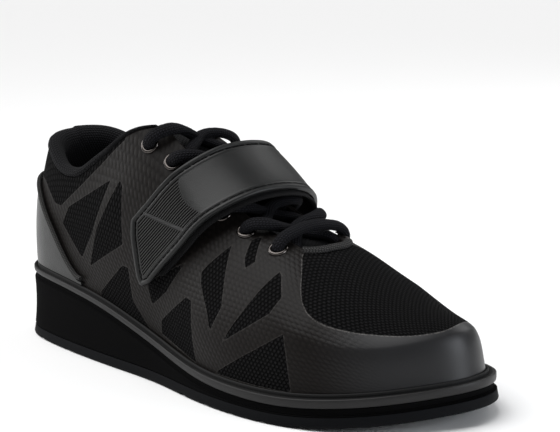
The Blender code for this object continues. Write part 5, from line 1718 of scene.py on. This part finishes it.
@dataclass
class Strap:
    """The instep strap, its facing, the wire ring and the anchor tab."""

    thickness: float = 0.0022
    base: float = 0.0014
    rise: float = 0.0063
    wire: float = 0.0015
    place: float = 0.620
    drop: float = 0.0125
    reach: float = 0.0012
    corner: float = 0.0030
    strap_return: float = 0.004
    tab_return: float = 0.011
    tab_end: float = 0.935
    tab: float = 0.0022
    tip: tuple = (
        # share of the width from the back edge, place across the instep
        (0.00, -0.695), (0.20, -0.745), (0.43, -0.787), (0.65, -0.826), (0.85, -0.853), (0.93, -0.848),
        (1.00, -0.815),
    )
    base_tip: tuple = (
        # share of the width from the back edge, place across the instep
        (0.00, -0.550), (0.40, -0.660), (0.70, -0.730), (0.90, -0.770), (1.00, -0.775), (1.07, -0.750),
    )
    lifts: tuple = (
        # place across, height of the facing's underside, extra at the back edge and in the middle
        (-1.00, 0.06, 0.00, 0.00), (-0.66, 0.08, 0.00, 0.00), (-0.56, 0.30, 0.00, 0.00),
        (-0.46, 0.72, 0.03, 0.00), (-0.38, 1.00, 0.08, 0.00), (-0.12, 1.12, 0.29, 0.00),
        (0.10, 1.15, 0.29, 0.06), (0.36, 1.32, 0.46, 0.35), (1.00, 1.32, 0.46, 0.35),
    )
    stitch_inset: float = 3.3
    stitch_end: float = 175.0

    def __post_init__(self) -> None:
        """Makes the band that all strips lie on."""
        self.band = Band()
        self.width = self.band.FRONT - self.band.BACK

    def under(self, q: Array, w: float) -> Array:
        """The height of the facing's lower face over the upper's form."""
        spread = np.asarray(q)[:, None] + np.linspace(-0.03, 0.03, 9)
        level, back, middle = (plain_table(self.lifts, c, spread).mean(1) for c in (1, 2, 3))
        w = min(max(w, 0.0), 1.0)
        return self.rise * (level + back * (1 - w) + middle * 4 * w * (1 - w))

    def bar_level(self) -> float:
        """The height of the ring's bars over the upper's form."""
        return SIZE.gap + self.tab + SIZE.gap + self.wire

    def lower_bar(self, w: Array) -> Array:
        """The place of the ring's lower bar."""
        return self.place + self.drop / self.band.scale(w, np.full(np.shape(w), self.place))

    def turn(self, w: float, q: float, start: float, end: float, thickness: float, count: int) -> Array:
        """Middle line of a strip that turns round a bar, in degrees from straight out."""
        radius = self.wire + SIZE.gap + thickness / 2
        scale = float(self.band.scale(np.array(w), np.array(q)))
        a = np.radians(np.linspace(start, end, count))
        return np.stack([q + radius * np.sin(a) / scale, self.bar_level() + radius * np.cos(a)], 1)

    def strap_path(self, w: float) -> Array:
        """The strap's middle line on one share of its width: place across and height."""
        start = float(natural_spline(self.tip, 1, w))
        over = self.base + SIZE.seat + self.thickness / 2
        top = self.bar_level() + self.wire + SIZE.gap + self.thickness / 2
        q = np.linspace(start, self.place - 0.03, 230)
        blend = smoothstep(q, 0.44, self.place - 0.03)
        path = np.stack([q, (self.under(q, w) + over) * (1 - blend) + top * blend], 1)
        curl = self.turn(w, self.place, 0, 180, self.thickness, 18)
        scale = float(self.band.scale(np.array(w), np.array(self.place)))
        back = np.array([[self.place - self.strap_return / scale, curl[-1, 1]]])
        return np.concatenate([path, curl, back])

    def base_path(self, w: float) -> Array:
        """The facing's middle line."""
        start = float(natural_spline(self.base_tip, 1, w))
        scale = float(self.band.scale(np.array(w), np.array(self.place)))
        stop = self.place - (self.strap_return + 0.003) / scale
        low = self.bar_level() - self.wire - SIZE.gap - self.base / 2
        q = np.linspace(start, stop, 150)
        blend = smoothstep(q, 0.44, stop)
        return np.stack([q, (self.under(q, w) + self.base / 2) * (1 - blend) + low * blend], 1)

    def tab_path(self, w: float) -> Array:
        """The tab's middle line."""
        lower = float(self.lower_bar(np.array(w)))
        scale = float(self.band.scale(np.array(w), np.array(lower)))
        flat = SIZE.gap + self.tab / 2
        q = np.linspace(self.tab_end, lower + 0.05, 60)
        path = np.stack([q, np.full(len(q), flat)], 1)
        curl = self.turn(w, lower, 180, 360, self.tab, 18)
        over = flat + self.tab + SIZE.gap
        tail = []
        for share in (0.3, 0.55, 0.8, 1.0):
            level = curl[-1, 1] + (over - curl[-1, 1]) * float(smoothstep(share, 0.0, 0.9))
            tail.append((lower + share * self.tab_return / scale, level))
        return np.concatenate([path, curl, np.array(tail)])

    def strip(self, name: str, widths: Array, path_of: Callable[[float], Array], thickness: float,
              relief: Optional[Callable[[Array, Array, Array], Array]] = None) -> tuple:
        """A closed strip of even thickness with a relief on its outer face.

        Args:
            name: The piece's name.
            widths: Shares of the strap's width.
            path_of: The middle line on one share of the width.
            thickness: The strip's thickness.
            relief: Extra height from (across, along, distance to the edge), in millimetres.

        Returns:
            The piece, its outer points and its flat layout.
        """
        paths, flats, normals, scales = [], [], [], []
        for w in widths:
            path = path_of(float(w))
            scale = self.band.scale(np.full(len(path), w), path[:, 0])
            step = np.diff(path[:, 0]) * scale[1:]
            plain = np.stack([np.concatenate([[0], np.cumsum(step)]), path[:, 1]], 1)
            ahead = unit(np.gradient(plain, axis=0))
            normals.append(np.stack([-ahead[:, 1], ahead[:, 0]], 1))
            flats.append(run_length(plain))
            paths.append(path)
            scales.append(scale)
        path, normal, scale = np.array(paths), np.array(normals), np.array(scales)
        start = np.array([p[0, 0] for p in paths])
        from_tip = (start - start.min()) * float(np.mean(scale[:, 0]))
        along = np.array(flats) + from_tip[:, None]
        across = np.broadcast_to((np.asarray(widths) * self.width)[:, None], along.shape)
        flat = np.stack([along, across], -1) * 1000
        far = [[1000.0, widths[-1] * self.width * 1000], [1000.0, widths[0] * self.width * 1000]]
        outline = np.concatenate([flat[:, 0], far])
        edge = polygon_distance(flat.reshape(-1, 2), outline).reshape(along.shape)
        edge = np.maximum(edge, 0.0)
        bulge = np.zeros_like(edge) if relief is None else relief(flat[..., 1], flat[..., 0], edge) * 0.001
        round_off = 0.0005 * (1 - smoothstep(edge, -0.2, 0.8))
        half = np.broadcast_to(thickness / 2, along.shape)
        w = np.broadcast_to(np.asarray(widths)[:, None], along.shape)
        up = half + bulge - round_off
        down = half - round_off
        q, lift = path[..., 0], path[..., 1]
        outer = self.band.points(w, q + normal[..., 0] * up / scale, lift + normal[..., 1] * up)
        inner = self.band.points(w, q - normal[..., 0] * down / scale, lift - normal[..., 1] * down)
        piece = Piece(name)
        piece.add(np.concatenate([outer.reshape(-1, 3), inner.reshape(-1, 3)]), plate_faces(*along.shape),
                  np.concatenate([flat, flat]), edge=np.concatenate([edge, np.zeros_like(edge)]))
        return piece, outer, flat

    @staticmethod
    def strap_relief(across: Array, along: Array, edge: Array) -> Array:
        """The strap's raised border, sunk stitch line and raised inner line, in millimetres."""
        border = 0.38 * smoothstep(edge, -0.2, 0.7) * (1 - smoothstep(edge, 2.2, 2.7))
        sunk = -0.22 * smoothstep(edge, 2.4, 2.9) * (1 - smoothstep(edge, 3.9, 4.4))
        line = 0.22 * smoothstep(edge, 3.9, 4.3) * (1 - smoothstep(edge, 4.6, 5.1))
        field = -0.05 * smoothstep(edge, 5.0, 5.5)
        return border + sunk + line + field

    def ring(self, metal: bpy.types.Material) -> None:
        """The rectangular wire ring."""
        half = 0.5 + (self.wire + self.reach) / self.width
        wide, high = self.corner / self.width, self.corner / self.drop
        outline = []
        for side, up, start in ((-1, -1, 180), (1, -1, 270), (1, 1, 0), (-1, 1, 90)):
            for angle in np.radians(start + np.linspace(0, 90, 9)):
                outline.append((0.5 + side * (half - wide) + math.cos(angle) * wide,
                                0.5 + up * (0.5 - high) + math.sin(angle) * high))
        closed = np.array(outline + outline[:1])
        line = resampled(closed * [self.width, self.drop], 0.0012)[:-1] / [self.width, self.drop]
        lower = self.lower_bar(line[:, 0])
        q = self.place + (lower - self.place) * line[:, 1]
        path = self.band.points(line[:, 0], q, np.full(len(line), self.bar_level()))
        t, v = self.band.spots(0.5, self.place)
        piece = Piece("ring_wire")
        piece.tube(path, self.wire, 14, closed=True, ups=LAST.outward(t, v))
        piece.make([metal], ["strap_ring"], "metal", 80)

    def build(self) -> None:
        """Builds the strap's pieces."""
        widths = np.concatenate([[0, 0.008, 0.02], np.linspace(0.035, 0.965, 62), [0.98, 0.992, 1]])
        strap, outer, flat = self.strip("strap_hide_strip", widths, self.strap_path, self.thickness,
                                        self.strap_relief)
        strap.make([StrapHide(self.width).build()], ["strap"], "strap", 60)
        self.stitches(outer, flat)
        facing = self.strip("strap_facing", np.linspace(0.02, 1.07, 30), self.base_path, self.base)[0]
        pile = Knit("facing_pile", (0.0022, 0.0022, 0.0025), (0.0060, 0.0060, 0.0068), 0.7, 0.0003)
        facing.make([pile.build()], ["strap_base"], "strap")
        tab = self.strip("tab_strip", np.linspace(0, 1, 40), self.tab_path, self.tab)[0]
        hide = Hide("tab_hide", (0.010, 0.010, 0.010), (0.015, 0.015, 0.0145), 0.42, 1100)
        tab.make([hide.build()], ["ring_tab"], "strap")
        self.ring(Metal().build())

    def stitches(self, outer: Array, flat: Array) -> None:
        """Stitches along the strap's edges and round its tip, on its outer points and their flat layout."""
        inset = self.stitch_inset
        rows = len(flat)
        step = max(1, int(round(inset / (self.width * 1000) * (rows - 1))))
        along = flat[..., 0] - flat[:, :1, 0]
        lines = []
        for row in (step, rows - 1 - step):
            lines.append(outer[row, (along[row] > inset * 1.4) & (along[row] < self.stitch_end)])
        lines.append(np.array([[np.interp(inset * 1.25, along[row], outer[row, :, c]) for c in range(3)]
                               for row in range(step, rows - step)]))
        rise = np.sin(np.linspace(0, math.pi, 6))[:, None] * 0.00012
        radius = 0.00034 * np.array([0.35, 0.9, 1.0, 1.0, 0.9, 0.35])
        piece = Piece("strap_stitches")
        for line in lines:
            points = resampled(line, 0.0004)
            for k in range(int(len(points) / 8)):
                part = points[k * 8:k * 8 + 6]
                away = unit(part - np.array([0.12, 0.0, 0.02]))
                piece.tube(part + away * rise, radius, 6, ups=away)
        thread = Rope("dark_thread", (0.004, 0.004, 0.004), (0.012, 0.012, 0.012), 0.6)
        piece.make([thread.build()], [], "strap", 80)


def soft_light(name: str, place: Sequence[float], power: float, size: float, aim: Sequence[float],
               colour: Sequence[float]) -> None:
    """Adds a square softbox.

    Args:
        name: The light's name.
        place: Where it stands.
        power: Its power in watts.
        size: Its side in metres.
        aim: The point that it looks at.
        colour: Its colour.
    """
    data = bpy.data.lights.new(name, "AREA")
    data.energy = power
    data.color = colour
    data.size = size
    lamp = bpy.data.objects.new(name, data)
    away = np.array(place, float) - np.array(aim, float)
    z = unit(away)
    x = unit(np.cross([0.0, 0.0, 1.0], z) if abs(z[2]) < 0.999 else np.array([1.0, 0.0, 0.0]))
    y = np.cross(z, x)
    rows = [[*row, p] for row, p in zip(np.stack([x, y, z], 1).tolist(), place)]
    lamp.matrix_world = Matrix(rows + [[0, 0, 0, 1]])
    bpy.context.scene.collection.objects.link(lamp)


class Studio:
    """The pale floor, the soft light and the camera."""

    AZIMUTH = math.radians(46.994)
    ELEVATION = math.radians(10.802)
    ROLL = math.radians(-0.792)
    LENS = 106.565
    EYE = (0.7422, -0.5282, 0.2282)
    FLOOR = 14.0
    SKY = 0.14
    SUN = 3.0
    BOXES = (
        # name, place, power, size, the point that it looks at, colour
        ("toe_box", (0.95, 0.30, 0.26), 4.4, 0.5, (0.12, 0.0, 0.04), (0.90, 0.94, 1.0)),
        ("heel_box", (-0.80, -0.45, 0.40), 2.6, 0.4, (-0.12, 0.0, 0.06), (1.0, 1.0, 1.0)),
        ("back_box", (0.10, 0.95, 0.75), 3.2, 0.7, (0.02, 0.0, 0.08), (1.0, 1.0, 1.0)),
    )

    def floor(self) -> None:
        """A wide pale floor."""
        mesh = bpy.data.meshes.new("floor")
        r = self.FLOOR
        mesh.from_pydata([(-r, -r, 0), (r, -r, 0), (r, r, 0), (-r, r, 0)], [], [(0, 1, 2, 3)])
        floor = bpy.data.objects.new("floor", mesh)
        bpy.context.scene.collection.objects.link(floor)
        g = Graph("pale_floor")
        mesh.materials.append(g.finish((0.88, 0.88, 0.88), 0.9, Specular_IOR_Level=0.0))

    def lights(self) -> None:
        """A soft sky, a broad sun and three softboxes."""
        world = bpy.data.worlds.new("studio")
        world.use_nodes = True
        sky = world.node_tree.nodes["Background"]
        sky.inputs[0].default_value = (1.0, 1.0, 1.0, 1.0)
        sky.inputs[1].default_value = self.SKY
        bpy.context.scene.world = world
        data = bpy.data.lights.new("overhead", "SUN")
        data.energy = self.SUN
        data.angle = math.radians(60)
        sun = bpy.data.objects.new("overhead", data)
        sun.rotation_euler = (math.radians(18), math.radians(-14), 0)
        bpy.context.scene.collection.objects.link(sun)
        for box in self.BOXES:
            soft_light(*box)

    def camera(self) -> None:
        """The camera at the photograph's angle."""
        a, e, r = self.AZIMUTH, self.ELEVATION, self.ROLL
        back = np.array([math.sin(a) * math.cos(e), -math.cos(a) * math.cos(e), math.sin(e)])
        right = np.array([math.cos(a), math.sin(a), 0.0])
        up = np.cross(back, right)
        x = right * math.cos(r) + up * math.sin(r)
        y = up * math.cos(r) - right * math.sin(r)
        eye = np.array(self.EYE) - np.array(SIZE.origin)
        data = bpy.data.cameras.new("camera")
        data.lens = self.LENS
        data.sensor_width = 36.0
        data.clip_start, data.clip_end = 0.05, 60.0
        camera = bpy.data.objects.new("camera", data)
        rows = [[x[k], y[k], back[k], eye[k]] for k in range(3)]
        camera.matrix_world = Matrix(rows + [[0, 0, 0, 1]])
        bpy.context.scene.collection.objects.link(camera)
        bpy.context.scene.camera = camera

    def build(self) -> None:
        """Builds the studio."""
        bpy.context.scene.view_settings.view_transform = "Standard"
        self.floor()
        self.lights()
        self.camera()


def main() -> None:
    """Builds the shoe's pieces in order, then the studio."""
    logging.basicConfig(level=logging.INFO, format="%(message)s")
    Sole().build()
    Upper().build()
    Collar().build()
    tongue = Tongue()
    tongue.build()
    Fasteners().build(tongue)
    Strap().build()
    Studio().build()


if __name__ == "__main__":
    main()
